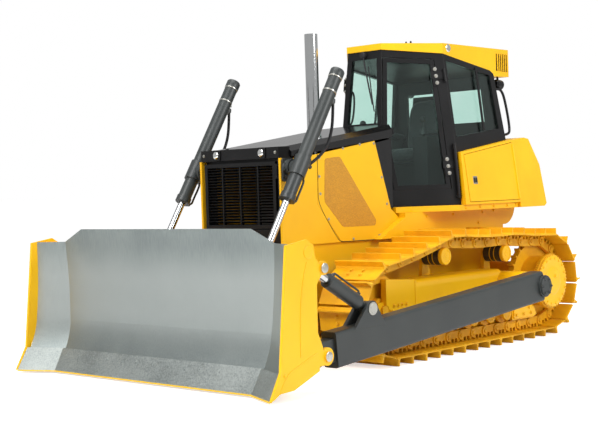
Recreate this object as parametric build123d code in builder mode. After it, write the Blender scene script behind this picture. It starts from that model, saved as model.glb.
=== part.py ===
from build123d import *
import os
from math import atan2, cos, degrees, radians, sin, tan

# Crawler dozer with a straight-pushed semi-U blade, in millimetres. +Z is up, the
# blade is at -Y, +X is the machine's left side, and Z = 0 is the ground under the
# grouser tips. Side outlines are drawn on Plane.YZ, where a point is (y, z).

os.makedirs("parts", exist_ok=True)
sides = (("left", 1), ("right", -1))

# ---------------------------------------------------------------- driving sizes
# Tracks
track_gauge = 1880          # between the two track centre lines
shoe_width = 560
track_pitch = 203.2
grouser = 66                # bar height below the shoe plate
shoe_plate = 12
link_to_shoe = 60           # pin centre out to the shoe plate
link_to_rail = 50           # pin centre in to the rail the rollers run on
rail_gap = 90               # free width between the two link rails
rail_width = 50
lower_run_bow = 0.5         # how much shorter the bars are in the middle of the lower run
sprocket_y = 2095
sprocket_z = 562
sprocket_pitch_r = 424
idler_y = -565
idler_pitch_r = 357
carriers = (                # the two carrier rollers and the foot of each one's bracket
    # y, z, foot z
    (411, 923, 710),
    (1459, 889, 540),
)
carrier_r = 85
carrier_shaft_r = 30
wheel_bore = 45
roller_r = 100
first_roller_y = -67
roller_step = 290
roller_count = 6
run_gap = 5                 # free space round pieces that move past each other
seat_gap = 0.3              # between pieces that lie on each other

track_x = track_gauge / 2
ground_to_pitch = grouser + shoe_plate + link_to_shoe
idler_z = ground_to_pitch + idler_pitch_r
roller_z = ground_to_pitch + link_to_rail + roller_r
track_out_x = track_x + shoe_width / 2
chain_half = rail_gap / 2 + rail_width

# Track frames
frame_in_x = 785
frame_out_x = 1100
frame_low_z = 416
frame_top_z = 740
housing_top_z = 775         # recoil housing, at its front end
housing_front_y = -560
housing_rear_y = -130
frame_rear_y = 1326
frame_shoulder = 70         # radius of its long edges
skirt_plate = 24            # skirts and guide plates beside the rollers

# Push beams and their trunnions
trunnion_y = 1353
trunnion_z = 578
front_pin_y = -1987
front_pin_z = 292
beam_in_x = 1400
beam_out_x = 1560
beam_height = 294
trunnion_r = 70
front_pin_r = 40
front_pin_drift = 20        # radial room round the front pins for the tilt
beam_x = (beam_in_x + beam_out_x) / 2
beam_angle = degrees(atan2(trunnion_z - front_pin_z, trunnion_y - front_pin_y))

# Blade
blade_half = 1612           # to the outside of the moldboard, inside the end plates
blade_top_z = 1308
blade_shoulder_z = 1192     # height of the wings
blade_flat_half = 1087      # half width of the level middle of the top edge
blade_edge_y = -2482
blade_edge_z = 17
edge_length = 236           # of the cutting edge, up its slope
edge_angle = 60             # of the cutting edge above the ground
edge_plate = 28
toe_r = 649                 # moldboard's tight curve above the cutting edge
toe_turn = 25
face_r = 4779               # and its gentle curve up to the top
face_turn = 10
moldboard_skin = 22
fold_low_x = 1259
fold_high_x = 1340
wing_forward = 0.45         # how far a wing comes forward for each mm outwards
cheek = 25                  # thickness of an end plate
tilt_pin_y = -2008
tilt_pin_z = 989
tilt_pin_r = 36
ear_in_x = 1345             # inner face of the beams' inner ears on the blade
ear = 30

# Lift cylinders
lift_x = 675
lift_pivot_y = -1190
lift_pivot_z = 1806
lift_eye_y = -1831
lift_eye_z = 800
lift_barrel_r = 62
lift_bore_r = 50
lift_rod_r = 32
lift_above = 1029           # barrel length above its pivot
lift_below = 342            # barrel length below its pivot
lift_eye_r = 62
lift_eye_width = 80
lift_eye_drift = 46         # side room in the blade's lift ears
lift_rod_tail = 240         # of the rod behind the barrel's pivot
lift_pivot_pin_r = 34

# Tilt cylinder and brace
bracket_y = -1327
bracket_z = 605
bracket_ear = 32
link_eye_width = 74
link_eye_r = 62
link_pin_r = 32
link_pin_room = 5           # round the pins, for the swing of the cylinder and the brace
link_x = 1490
collar_half = 3             # half width of the collars that seat a swinging eye on its pin
tilt_barrel_r = 62
tilt_rod_r = 34

# Hull, hood and grille
hull_half = 480
hull_low_z = 470
hull_rear_y = 2360
deck_z = 1104               # underside of the engine shields
hood_half = 520
shield = 22                 # thickness of the side sheets
nose_y = -1274
nose_half = 500
grille_low_z = 1263
grille_top_z = 1865
nose_bar_z = 1892
nose_top_z = 1994
hood_rear_low_z = 2110
hood_rear_top_z = 2235
hood_side_drop = 45         # the hood's sloping side bands: their height
hood_side_run = 70          # and their width
hood_cut_y = 335            # where the hood's rear corners are cut off
hood_cut_x = 265
shield_front_y = -784
stack_x = -150
stack_y = -63
stack_top_z = 3139
stack_r = 65

# Cab: a tapered box whose front, door and side walls are flat and lean inwards
cab_front_y = 439           # of the front wall, at the height of the doors' foot
front_lean = 0.102          # how far the front wall leans back for each mm upwards
cab_half = 810              # half width across the side walls, at the same height
side_lean = 0.133           # how far a side wall, door or locker leans in for each mm upwards
cab_hinge_y = 1068          # corner between a door and a side wall
door_angle = 50.3           # of a door in plan, from the cross axis
cab_rear_y = 2005
rear_lean_z = 2104          # the rear wall leans forward above this height
rear_lean = 0.088
cab_low_z = 1400
cab_floor_z = 1545
cab_wall = 45
door_low_z = 1560
door_front_u = 6            # door opening's front edge, from the cab's front corner
door_kink_z = 2192          # where its lower front edge starts to slant
door_foot_u = 120
door_rear_u = 98            # its rear edge, from the hinge corner
door_front_top_z = 2915
door_rear_top_z = 2885
door_gap = 7                # free space round a door
door_rim = 45
hinge_in = 15               # hinge axis, forward of the corner
hinge_out = 21              # and out of the door's face
hinge_r = 13
hinge_pin_r = 6
hinge_half = 42             # half length of a door's hinge barrel
hinge_zs = (1806, 2716)
knuckle = 23
glass = 8
roof_lip = 14               # overhang of the roof round the cab
roof_low_z = 2700
roof_top_z = 3050

# Side lockers, rear tank and fenders
locker_half = 900           # half width of lockers and tank, at the cab's foot
locker_in_x = 650
locker_front_y = 1036
locker_top_z = 1925         # top at the front; it rises to the rear
locker_rise = 0.142
locker_door_front_y = 1090
locker_door_low_z = 1424
locker_door_top = 26        # opening's top edge, below the locker's
locker_hinge_y = 2002
locker_door = 28
locker_gap = 5
locker_proud = 4            # of the door, outside the locker's face
locker_shell = 30           # wall of a locker, and the rim behind its door
piano_r = 9
tank_front_y = 2013
tank_low_z = 1343
fender_half = 600


def line_angle(y0, z0, y1, z1):
    """Angle in degrees of the line from one side-view point to another."""
    return degrees(atan2(z1 - z0, y1 - y0))


def distance(y0, z0, y1, z1):
    """Distance between two side-view points."""
    return ((y1 - y0) ** 2 + (z1 - z0) ** 2) ** 0.5


# ---------------------------------------------------------------- track chains
# The pitch line of a chain is the belt round idler, carriers and sprocket. Every
# link and shoe is placed by the two pins it joins.
belt_wheels = [(idler_y, idler_z, idler_pitch_r), (sprocket_y, sprocket_z, sprocket_pitch_r)]
belt_wheels += [(y, z, carrier_r + link_to_rail) for y, z, foot_z in carriers]
with BuildSketch(Plane.YZ) as pitch_loop:
    with BuildLine():
        for y, z, r in belt_wheels:
            CenterArc((y, z), r, 0, 360)
    make_hull()
pitch_wire = pitch_loop.sketch_local.face().outer_wire()
link_count = round(pitch_wire.length / track_pitch)
pins = [pitch_wire.position_at(i / link_count) for i in range(link_count)]
shoelace = sum(a.X * b.Y - b.X * a.Y for a, b in zip(pins, pins[1:] + pins[:1]))
if shoelace < 0:
    pins.reverse()
print("chain length", round(pitch_wire.length), "links", link_count)

link_length = pitch_wire.length / link_count
plate_out = -link_to_shoe - shoe_plate
bar_tip = 16                # thickness of a shoe's bar at its tip
lower_run = [pin.X for pin in pins if pin.Y < ground_to_pitch + 0.01]
run_middle = (min(lower_run) + max(lower_run) + bar_tip) / 2
run_half = run_middle - min(lower_run)


def tip(pin, along):
    """Depth of the bar's tip, `along` its link from `pin`.

    Bars in the middle of the lower run are a little shorter, so that the machine stands
    on the ends of its tracks.
    """
    share = (pin.X + along - run_middle) / run_half
    on_ground = pin.Y < ground_to_pitch + 0.01
    return plate_out - grouser + (lower_run_bow * (1 - share ** 2) if on_ground else 0)


def shoe_outline(pin):
    """One shoe in the frame of its link, which starts at `pin`: x along the chain, -y outwards."""
    return (
        (-3, -link_to_shoe),
        (link_length + 3, -link_to_shoe),
        (link_length + 3, plate_out),
        (26, plate_out),
        (bar_tip, tip(pin, bar_tip)),
        (0, tip(pin, 0)),
        (-3, plate_out),
    )


for side, s in sides:
    with BuildPart() as track:
        with BuildSketch(Plane.YZ.offset(s * track_x)):
            for a, b in zip(pins, pins[1:] + pins[:1]):
                turn = line_angle(a.X, a.Y, b.X, b.Y)
                with Locations(Location((a.X, a.Y, 0), (0, 0, turn))):
                    Polygon(*shoe_outline(a), align=None)
        extrude(amount=shoe_width / 2, both=True)
        for rail_x in (track_x - chain_half, track_x + rail_gap / 2):
            with BuildSketch(Plane.YZ.offset(s * rail_x)):
                add(pitch_loop.sketch_local)
                offset(amount=link_to_shoe + 1)
            extrude(amount=s * rail_width)
            with BuildSketch(Plane.YZ.offset(s * rail_x)):
                add(pitch_loop.sketch_local)
                offset(amount=-link_to_rail)
            extrude(amount=s * rail_width, mode=Mode.SUBTRACT)
    track.part.label = f"track_{side}"
    export_step(track.part, f"parts/track_{side}.step")


# ---------------------------------------------------------------- track frames
frame_x = (frame_out_x + frame_in_x) / 2
roller_ys = [first_roller_y + i * roller_step for i in range(roller_count)]
skirt_in_x = track_x - chain_half - 30 - skirt_plate
skirt_out_x = track_x + chain_half + 30
bracket_in_x = track_x - chain_half - 60
roller_shaft_r = 32
fork_plate = 30
trunnion_boss = 70          # of the boss round the trunnion's root
guide_outline = ((1500, 200), (1890, 200), (1960, 225), (1915, 318), (1630, 440), (1500, 440))
with BuildPart() as track_frames:
    for side, s in sides:
        # box of the frame with rounded long edges
        with BuildSketch(Plane.XZ.offset(-housing_rear_y)):
            with Locations((s * frame_x, (frame_low_z + frame_top_z) / 2)):
                RectangleRounded(frame_out_x - frame_in_x, frame_top_z - frame_low_z, frame_shoulder)
        extrude(amount=-(frame_rear_y - housing_rear_y))
        # recoil housing, rising towards the idler
        with BuildSketch(Plane.YZ.offset(s * (frame_in_x + 12))):
            Polygon(
                (housing_front_y, frame_low_z + 90),
                (housing_rear_y, frame_low_z),
                (housing_rear_y, frame_top_z + 4),
                (housing_front_y, housing_top_z),
                align=None,
            )
        extrude(amount=s * (frame_out_x - frame_in_x - 12))
        # trunnion of the push beam
        for r, out_x in ((trunnion_r + trunnion_boss, track_out_x + 130), (trunnion_r, beam_out_x - 10)):
            with BuildSketch(Plane.YZ.offset(s * (frame_out_x - 60))):
                with Locations((trunnion_y, trunnion_z)):
                    Circle(r)
            extrude(amount=s * (out_x - frame_out_x + 60))
        # tail of the frame, and the guide plates that run on towards the sprocket
        with BuildSketch(Plane.YZ.offset(s * frame_in_x)):
            Polygon(
                (frame_rear_y - 60, frame_low_z),
                (frame_rear_y + 310, frame_low_z),
                (frame_rear_y + 310, frame_low_z + 80),
                (frame_rear_y + 90, frame_top_z - 110),
                (frame_rear_y - 60, frame_top_z - 110),
                align=None,
            )
        extrude(amount=s * (frame_out_x - frame_in_x))
        for guide_x in (frame_in_x + 6, skirt_out_x):
            with BuildSketch(Plane.YZ.offset(s * guide_x)):
                Polygon(*guide_outline, align=None)
            extrude(amount=s * skirt_plate)
        # skirts that hold the roller shafts
        for skirt_x in (skirt_in_x, skirt_out_x):
            with BuildSketch(Plane.YZ.offset(s * skirt_x)):
                for y in roller_ys:
                    with Locations((y, roller_z + 70)):
                        Rectangle(120, 200)
            extrude(amount=s * skirt_plate)
        with BuildSketch(Plane.YZ.offset(s * track_x)):
            with Locations(*[(y, roller_z) for y in roller_ys]):
                Circle(roller_shaft_r + seat_gap)
        extrude(amount=shoe_width / 2, both=True, mode=Mode.SUBTRACT)
        # room for the idler, and the fork that holds its shaft
        for r, half in ((idler_pitch_r, chain_half + run_gap), (wheel_bore + seat_gap, shoe_width / 2)):
            with BuildSketch(Plane.YZ.offset(s * track_x)):
                with Locations((idler_y, idler_z)):
                    Circle(r)
            extrude(amount=half, both=True, mode=Mode.SUBTRACT)
        for fork_x in (track_x - chain_half - fork_plate - 6, track_x + chain_half + 6):
            with BuildSketch(Plane.YZ.offset(s * fork_x)):
                Polygon(
                    (idler_y - 80, idler_z - 60),
                    (housing_front_y + 320, idler_z - 60),
                    (housing_front_y + 320, idler_z + 90),
                    (idler_y - 80, idler_z + 70),
                    align=None,
                )
                with Locations((idler_y, idler_z)):
                    Circle(wheel_bore + seat_gap, mode=Mode.SUBTRACT)
            extrude(amount=s * fork_plate)
        # brackets and shafts of the carrier rollers
        for y, z, foot_z in carriers:
            with BuildSketch(Plane.YZ.offset(s * bracket_in_x)):
                Polygon((y - 70, foot_z), (y + 70, foot_z), (y + 42, z), (y - 42, z), align=None)
                with Locations((y, z)):
                    Circle(42)
            extrude(amount=s * 40)
            with BuildSketch(Plane.YZ.offset(s * bracket_in_x)):
                with Locations((y, z)):
                    Circle(carrier_shaft_r)
            extrude(amount=s * (track_x - bracket_in_x))
track_frames.part.label = "track_frames"
export_step(track_frames.part, "parts/track_frames.step")


# ---------------------------------------------------------------- wheels in the chain
# idlers: two treads for the rails and a guide flange between them
flange_half = rail_gap / 2 - run_gap
idler_tread_r = idler_pitch_r - link_to_rail - seat_gap
idler_rings = (
    # outer radius, inner radius, half width
    (idler_tread_r, idler_tread_r - 60, chain_half),
    (idler_pitch_r - 20, wheel_bore, flange_half),
    (110, wheel_bore, chain_half),
    (wheel_bore, 0, chain_half + 60),
)
with BuildPart() as idlers:
    for side, s in sides:
        for r, hole_r, half in idler_rings:
            with BuildSketch(Plane.YZ.offset(s * track_x)):
                with Locations((idler_y, idler_z)):
                    Circle(r)
                    if hole_r:
                        Circle(hole_r, mode=Mode.SUBTRACT)
            extrude(amount=half, both=True)
idlers.part.label = "idlers"
export_step(idlers.part, "parts/idlers.step")

# track rollers, each with its rims, guide flange and shaft
roller_rings = (
    # radius, half width
    (roller_r - seat_gap, chain_half),
    (roller_r + 22, flange_half),
    (roller_shaft_r, chain_half + 50),
)
with BuildPart() as track_rollers:
    for side, s in sides:
        for r, half in roller_rings:
            with BuildSketch(Plane.YZ.offset(s * track_x)):
                with Locations(*[(y, roller_z) for y in roller_ys]):
                    Circle(r)
            extrude(amount=half, both=True)
track_rollers.part.label = "track_rollers"
export_step(track_rollers.part, "parts/track_rollers.step")

# carrier rollers with their end caps
carrier_cap = 34
with BuildPart() as carrier_rollers:
    for side, s in sides:
        for y, z, foot_z in carriers:
            with BuildSketch(Plane.YZ.offset(s * (track_x - chain_half - 10))):
                with Locations((y, z)):
                    Circle(carrier_r - seat_gap)
                    Circle(carrier_shaft_r + seat_gap, mode=Mode.SUBTRACT)
            extrude(amount=s * (2 * chain_half + 6))
            with BuildSketch(Plane.YZ.offset(s * (track_x + chain_half - 4))):
                with Locations((y, z)):
                    Circle(carrier_r - 8)
            extrude(amount=s * carrier_cap)
carrier_rollers.part.label = "carrier_rollers"
export_step(carrier_rollers.part, "parts/carrier_rollers.step")

# ---------------------------------------------------------------- final drives
hub_r = 288
hub_out_x = 1215
hub_step = 26
rim_teeth = 72
rim_tooth = 8               # height of the rim's small teeth
sprocket_teeth = 26
sprocket_root_r = sprocket_pitch_r - 34
sprocket_half = 34
case_r = 200
case_in_x = hull_half - 40
with BuildPart() as final_drives:
    for side, s in sides:
        # toothed sprocket ring between the link rails
        with BuildSketch(Plane.YZ.offset(s * track_x)):
            with Locations((sprocket_y, sprocket_z)):
                Circle(sprocket_root_r)
                with PolarLocations(sprocket_root_r + 4, sprocket_teeth):
                    Trapezoid(44, 70, 74, rotation=-90)
        extrude(amount=sprocket_half, both=True)
        # housing behind it and hub in front
        for r, from_x, to_x in ((case_r, case_in_x, track_x), (hub_r - hub_step, track_x, hub_out_x)):
            with BuildSketch(Plane.YZ.offset(s * from_x)):
                with Locations((sprocket_y, sprocket_z)):
                    Circle(r)
            extrude(amount=s * (to_x - from_x))
        # cover disc with its finely notched rim
        with BuildSketch(Plane.YZ.offset(s * (hub_out_x - 60))):
            with Locations((sprocket_y, sprocket_z)):
                Circle(hub_r - rim_tooth)
                with PolarLocations(hub_r - rim_tooth, rim_teeth):
                    Rectangle(2 * rim_tooth, 14)
        extrude(amount=s * 36)
final_drives.part.label = "final_drives"
export_step(final_drives.part, "parts/final_drives.step")

# ---------------------------------------------------------------- hull
hull_front_y = -1190
belly = 30
side_plate = 45
cross_plate = 60
case_front_y = 480          # of the transmission case, which fills the hull's rear
shaft_r = 62
pivot_y = 1180
bar_y = -330
bar_z = 620
with BuildPart() as main_frame:
    with BuildSketch(Plane.YZ):
        Polygon(
            (nose_y, 700),
            (hull_front_y, hull_low_z),
            (hull_rear_y, hull_low_z),
            (hull_rear_y, deck_z),
            (nose_y, deck_z),
            align=None,
        )
    extrude(amount=hull_half, both=True)
    # engine bay
    with BuildSketch(Plane.YZ):
        Polygon(
            (hull_front_y + cross_plate, hull_low_z + belly),
            (case_front_y, hull_low_z + belly),
            (case_front_y, deck_z + 1),
            (hull_front_y + cross_plate, deck_z + 1),
            align=None,
        )
    extrude(amount=hull_half - side_plate, both=True, mode=Mode.SUBTRACT)
    # bores of the pivot shaft, the equaliser bar and the final drives
    with BuildSketch(Plane.YZ):
        with Locations((pivot_y, trunnion_z), (bar_y, bar_z)):
            Circle(shaft_r + seat_gap)
    extrude(amount=hull_half, both=True, mode=Mode.SUBTRACT)
    for side, s in sides:
        with BuildSketch(Plane.YZ.offset(s * (case_in_x - seat_gap))):
            with Locations((sprocket_y, sprocket_z)):
                Circle(case_r + seat_gap)
        extrude(amount=s * (hull_half - case_in_x + 1), mode=Mode.SUBTRACT)
main_frame.part.label = "main_frame"
export_step(main_frame.part, "parts/main_frame.step")

# pivot shaft and equaliser bar that carry the two track frames
with BuildPart() as cross_shafts:
    with BuildSketch(Plane.YZ):
        with Locations((pivot_y, trunnion_z), (bar_y, bar_z)):
            Circle(shaft_r)
    extrude(amount=frame_in_x - seat_gap, both=True)
cross_shafts.part.label = "cross_shafts"
export_step(cross_shafts.part, "parts/cross_shafts.step")

engine_half = 280
engine_low_z = 690
engine_top_z = 1780
engine_front_y = -780
engine_rear_y = stack_y + stack_r + 2
engine_foot = 90            # width of the engine's mounting feet
with BuildPart() as engine:
    with BuildSketch(Plane.XY.offset(engine_low_z)):
        with Locations((0, (engine_front_y + engine_rear_y) / 2)):
            Rectangle(2 * engine_half, engine_rear_y - engine_front_y)
    extrude(amount=engine_top_z - engine_low_z)
    # feet on the belly plate, either side of the equaliser bar
    with BuildSketch(Plane.XY.offset(hull_low_z + belly + seat_gap)):
        for y in (engine_front_y + engine_foot, engine_rear_y - engine_foot):
            with Locations((0, y)):
                Rectangle(2 * engine_half, engine_foot)
    extrude(amount=engine_low_z + 1 - hull_low_z - belly)
engine.part.label = "engine"
export_step(engine.part, "parts/engine.step")

# drawbar jaw at the rear
drawbar_y = 2500
drawbar_z = 560
drawbar_pin_r = 25
drawbar_half = 110
drawbar_plate = 35
drawbar_gap = 90
drawbar_flange = 45
drawbar_low_z = drawbar_z - drawbar_gap / 2 - drawbar_plate
with BuildPart() as drawbar:
    for z in (drawbar_low_z, drawbar_z + drawbar_gap / 2):
        with BuildSketch(Plane.XY.offset(z)):
            with Locations((0, (hull_rear_y + seat_gap + drawbar_y) / 2)):
                Rectangle(2 * drawbar_half, drawbar_y - hull_rear_y - seat_gap)
            with Locations((0, drawbar_y)):
                Circle(drawbar_half)
                Circle(drawbar_pin_r, mode=Mode.SUBTRACT)
        extrude(amount=drawbar_plate)
    with BuildSketch(Plane.XZ.offset(-hull_rear_y - seat_gap)):
        with Locations((0, drawbar_z)):
            RectangleRounded(420, 320, 30)
    extrude(amount=-drawbar_flange)
drawbar.part.label = "drawbar"
export_step(drawbar.part, "parts/drawbar.step")

# ---------------------------------------------------------------- hood and nose
frame_slope = ((8, deck_z + seat_gap), (402, 1302))     # front slope of the upper frame
shield_outline = (
    (shield_front_y, 1925),
    (shield_front_y - 8, 1464),
    (-479, deck_z + 6),
    (frame_slope[0][0] - seat_gap, frame_slope[0][1] + seat_gap),
    (frame_slope[1][0] - seat_gap, frame_slope[1][1] + seat_gap),
    (282, 1389),
    (59, 2052),
)
panel_gap = 3
nose_corner_y = shield_front_y - 8
nose_outline = (
    (nose_y, deck_z + seat_gap),
    (-479 - panel_gap, deck_z + seat_gap),
    (nose_corner_y - panel_gap, 1464),
    (shield_front_y - panel_gap, 1924),
    (nose_y + 153, 1888),
    (nose_y, nose_bar_z - seat_gap),
)
side_sheets = (
    # node, outline: bolted engine shields, and the plates beside the radiator
    ("engine_shields", shield_outline),
    ("nose_plates", nose_outline),
)
for name, outline in side_sheets:
    with BuildPart() as side_sheet:
        for side, s in sides:
            with BuildSketch(Plane.YZ.offset(s * (hood_half - shield))):
                Polygon(*outline, align=None)
            extrude(amount=s * shield)
    side_sheet.part.label = name
    export_step(side_sheet.part, f"parts/{name}.step")

# front frame round the grille opening, with the jamb and knuckles of the grille's hinges
grille_half = 455
grille_depth = 60
grille_rim = 35
grille_mid_z = (grille_low_z + grille_top_z) / 2
grille_hinge_x = grille_half + 16
grille_hinge_y = nose_y - 2
grille_hinge_zs = (grille_low_z + 90, grille_top_z - 90)
frame_half = hood_half - shield - seat_gap
with BuildPart() as grille_frame:
    with BuildSketch(Plane.XZ.offset(-(nose_y + grille_depth + 5))):
        with Locations((0, (deck_z + nose_bar_z) / 2)):
            Rectangle(2 * frame_half, nose_bar_z - deck_z - 2 * seat_gap)
        with Locations((0, grille_mid_z)):
            Rectangle(2 * grille_half - 110, grille_top_z - grille_low_z - 80, mode=Mode.SUBTRACT)
    extrude(amount=-34)
    with BuildSketch(Plane.XZ.offset(-nose_y)):
        with Locations((0, (deck_z + seat_gap + grille_low_z - 6) / 2)):
            Rectangle(2 * frame_half, grille_low_z - 6 - deck_z - seat_gap)
        jamb_in_x = grille_hinge_x + hinge_r + 1
        with Locations(((jamb_in_x + frame_half) / 2, grille_mid_z)):
            Rectangle(frame_half - jamb_in_x, grille_top_z - grille_low_z + 20)
    extrude(amount=-(grille_depth + 6))
    for z in grille_hinge_zs:
        for low_z in (z - hinge_half - 1 - knuckle, z + hinge_half + 1):
            with BuildSketch(Plane.XY.offset(low_z)):
                with Locations((grille_hinge_x, grille_hinge_y)):
                    Circle(hinge_r)
                with Locations((grille_hinge_x, grille_hinge_y + 4)):
                    Rectangle(frame_half - grille_hinge_x, 10, align=(Align.MIN, Align.CENTER))
            extrude(amount=knuckle)
        with BuildSketch(Plane.XY.offset(z)):
            with Locations((grille_hinge_x, grille_hinge_y)):
                Circle(hinge_pin_r)
        extrude(amount=hinge_half + 2, both=True)
grille_frame.part.label = "grille_frame"
export_step(grille_frame.part, "parts/grille_frame.step")

# hinged grille: rim, upright bars and level slats
slat_count = 19
slat_step = (grille_top_z - grille_low_z - 2 * grille_rim) / (slat_count + 1)
bar_xs = (-228, 0, 228)
with BuildPart() as grille:
    with BuildSketch(Plane.XZ.offset(-nose_y)):
        with Locations((0, grille_mid_z)):
            Rectangle(2 * grille_half, grille_top_z - grille_low_z)
            Rectangle(
                2 * (grille_half - grille_rim),
                grille_top_z - grille_low_z - 2 * grille_rim,
                mode=Mode.SUBTRACT,
            )
    extrude(amount=-(grille_depth - 10))
    with BuildSketch(Plane.XZ.offset(-nose_y - 6)):
        with Locations(*[(x, grille_mid_z) for x in bar_xs]):
            Rectangle(14, grille_top_z - grille_low_z - 2 * grille_rim + 10)
    extrude(amount=-30)
    with BuildSketch(Plane.YZ):
        for i in range(slat_count):
            with Locations((nose_y + 24, grille_low_z + grille_rim + (i + 1) * slat_step)):
                Rectangle(34, 5, rotation=-30)
    extrude(amount=grille_half - grille_rim + 1, both=True)
    for z in grille_hinge_zs:
        with BuildSketch(Plane.XY.offset(z)):
            with Locations((grille_hinge_x, grille_hinge_y)):
                Circle(hinge_r)
            with Locations((grille_hinge_x, grille_hinge_y + 4)):
                Rectangle(36, 10, align=(Align.MAX, Align.CENTER))
            with Locations((grille_hinge_x, grille_hinge_y)):
                Circle(hinge_pin_r + seat_gap, mode=Mode.SUBTRACT)
        extrude(amount=hinge_half, both=True)
grille.part.label = "grille"
export_step(grille.part, "parts/grille.step")

nose_bar_depth = 150
with BuildPart() as nose_bar:
    with BuildSketch(Plane.XZ.offset(-nose_y)):
        with Locations((0, (nose_bar_z + nose_top_z) / 2)):
            Rectangle(2 * nose_half, nose_top_z - nose_bar_z)
    extrude(amount=-nose_bar_depth)
nose_bar.part.label = "nose_bar"
export_step(nose_bar.part, "parts/nose_bar.step")

# hood: a crowned lid that rises towards the cab
hood_front_y = nose_y + nose_bar_depth + seat_gap
hood_rear_y = cab_front_y + front_lean * (hood_rear_low_z - door_low_z) - 12
hood_sections = (
    # y, underside, top
    (hood_front_y, nose_bar_z + 14, nose_top_z + 6),
    (hood_rear_y, hood_rear_low_z, hood_rear_top_z),
)
with BuildPart() as hood:
    for y, low, high in hood_sections:
        with BuildSketch(Plane.XZ.offset(-y)):
            Polygon(
                (-hood_half, low),
                (hood_half, low),
                (hood_half, high - hood_side_drop),
                (hood_half - hood_side_run, high),
                (-hood_half + hood_side_run, high),
                (-hood_half, high - hood_side_drop),
                align=None,
            )
    loft(ruled=True)
    with BuildSketch(Plane.XY.offset(nose_bar_z - 50)):
        with Locations((stack_x, stack_y)):
            Circle(stack_r + run_gap)
        # the rear corners are cut off, clear of the doors' swing
        for side, s in sides:
            Polygon(
                (s * hood_half, hood_cut_y),
                (s * hood_cut_x, hood_rear_y),
                (s * hood_cut_x, hood_rear_y + 50),
                (s * (hood_half + 50), hood_rear_y + 50),
                (s * (hood_half + 50), hood_cut_y),
                align=None,
            )
    extrude(amount=500, mode=Mode.SUBTRACT)
hood.part.label = "hood"
export_step(hood.part, "parts/hood.step")

stack_foot_z = engine_top_z + seat_gap
stack_bore_z = 2300         # depth to which the stack's pipe is open
stack_wall = 4
with BuildPart() as exhaust_stack:
    with BuildSketch(Plane.XY.offset(stack_foot_z)):
        with Locations((stack_x, stack_y)):
            Circle(stack_r)
    extrude(amount=stack_top_z - stack_foot_z)
    with BuildSketch(Plane.XY.offset(stack_bore_z)):
        with Locations((stack_x, stack_y)):
            Circle(stack_r - stack_wall)
    extrude(amount=stack_top_z - stack_bore_z, mode=Mode.SUBTRACT)
exhaust_stack.part.label = "exhaust_stack"
export_step(exhaust_stack.part, "parts/exhaust_stack.step")

# yokes of the lift cylinders, each with its plate, boss and pivot pin
yoke_in_x = hood_half + seat_gap
yoke_plate = 20
pivot_ear_x = lift_x - 82   # inner end of the barrel's own boss
yoke_steps = (
    # radius, outer x
    (72, pivot_ear_x),
    (lift_pivot_pin_r, lift_x - 58),
)
with BuildPart() as lift_yokes:
    for side, s in sides:
        with BuildSketch(Plane.YZ.offset(s * yoke_in_x)):
            with Locations((lift_pivot_y, lift_pivot_z - 20)):
                RectangleRounded(150, 210, 24)
        extrude(amount=s * yoke_plate)
        for r, out_x in yoke_steps:
            with BuildSketch(Plane.YZ.offset(s * yoke_in_x)):
                with Locations((lift_pivot_y, lift_pivot_z)):
                    Circle(r)
            extrude(amount=s * (out_x - yoke_in_x))
lift_yokes.part.label = "lift_yokes"
export_step(lift_yokes.part, "parts/lift_yokes.step")

# ---------------------------------------------------------------- cab
def cab_plan(z, rear_y=cab_rear_y):
    """Corners of the cab's plan at height z: front edge, doors and side walls."""
    front_y = cab_front_y + front_lean * (z - door_low_z)
    side_x = cab_half - side_lean * (z - door_low_z)
    front_x = side_x - (cab_hinge_y - front_y) / tan(radians(door_angle))
    half = [(front_x, front_y), (side_x, cab_hinge_y), (side_x, rear_y)]
    return half + [(-x, y) for x, y in reversed(half)]


# A door's plane is its outer face. It starts at the foot of the cab's front corner, with
# x towards the hinges and y up the face; `up` turns a height into that y.
door_cos = cos(radians(door_angle))
door_sin = sin(radians(door_angle))
door_stretch = (1 + (side_lean * door_sin) ** 2) ** 0.5
corner_x, corner_y = cab_plan(door_low_z)[0]
door_planes = [
    Plane(
        origin=(s * corner_x, corner_y, door_low_z),
        x_dir=(s * door_cos, door_sin, 0),
        z_dir=(door_sin, -s * door_cos, s * side_lean * door_sin),
    )
    for side, s in sides
]


def up(z):
    """Distance of a height up a door's face from the door's foot."""
    return (z - door_low_z) * door_stretch


def across(corner, z):
    """Distance of one of the cab's corners along a door's face, at height z."""
    x, y = cab_plan(z)[corner]
    return (x - corner_x) * door_cos + (y - corner_y) * door_sin


def hinge_point(s, z):
    """Point of a door's hinge axis at height z."""
    x, y = cab_plan(z)[1]
    out_x = hinge_out * door_sin - hinge_in * door_cos
    out_y = -hinge_out * door_cos - hinge_in * door_sin
    return (s * (x + out_x), y + out_y, z)


door_outline = (
    (across(0, door_kink_z) + door_front_u, up(door_kink_z)),
    (door_foot_u, 0),
    (across(1, door_low_z) - door_rear_u, 0),
    (across(1, door_rear_top_z) - door_rear_u, up(door_rear_top_z)),
    (across(0, door_front_top_z) + door_front_u, up(door_front_top_z)),
)


def locker_top(y):
    """Height of the lockers' sloping top."""
    return locker_top_z + locker_rise * (y - locker_front_y)


def locker_x(z):
    """Half width of lockers and tank at height z."""
    return locker_half - side_lean * (z - cab_low_z)


roof_under = ((400, 3008), (cab_hinge_y - 24, 2943), (1885, 2807), (1988, 2749), (2400, 2749))
cab_end_y = 2 * cab_rear_y  # beyond everything


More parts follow.
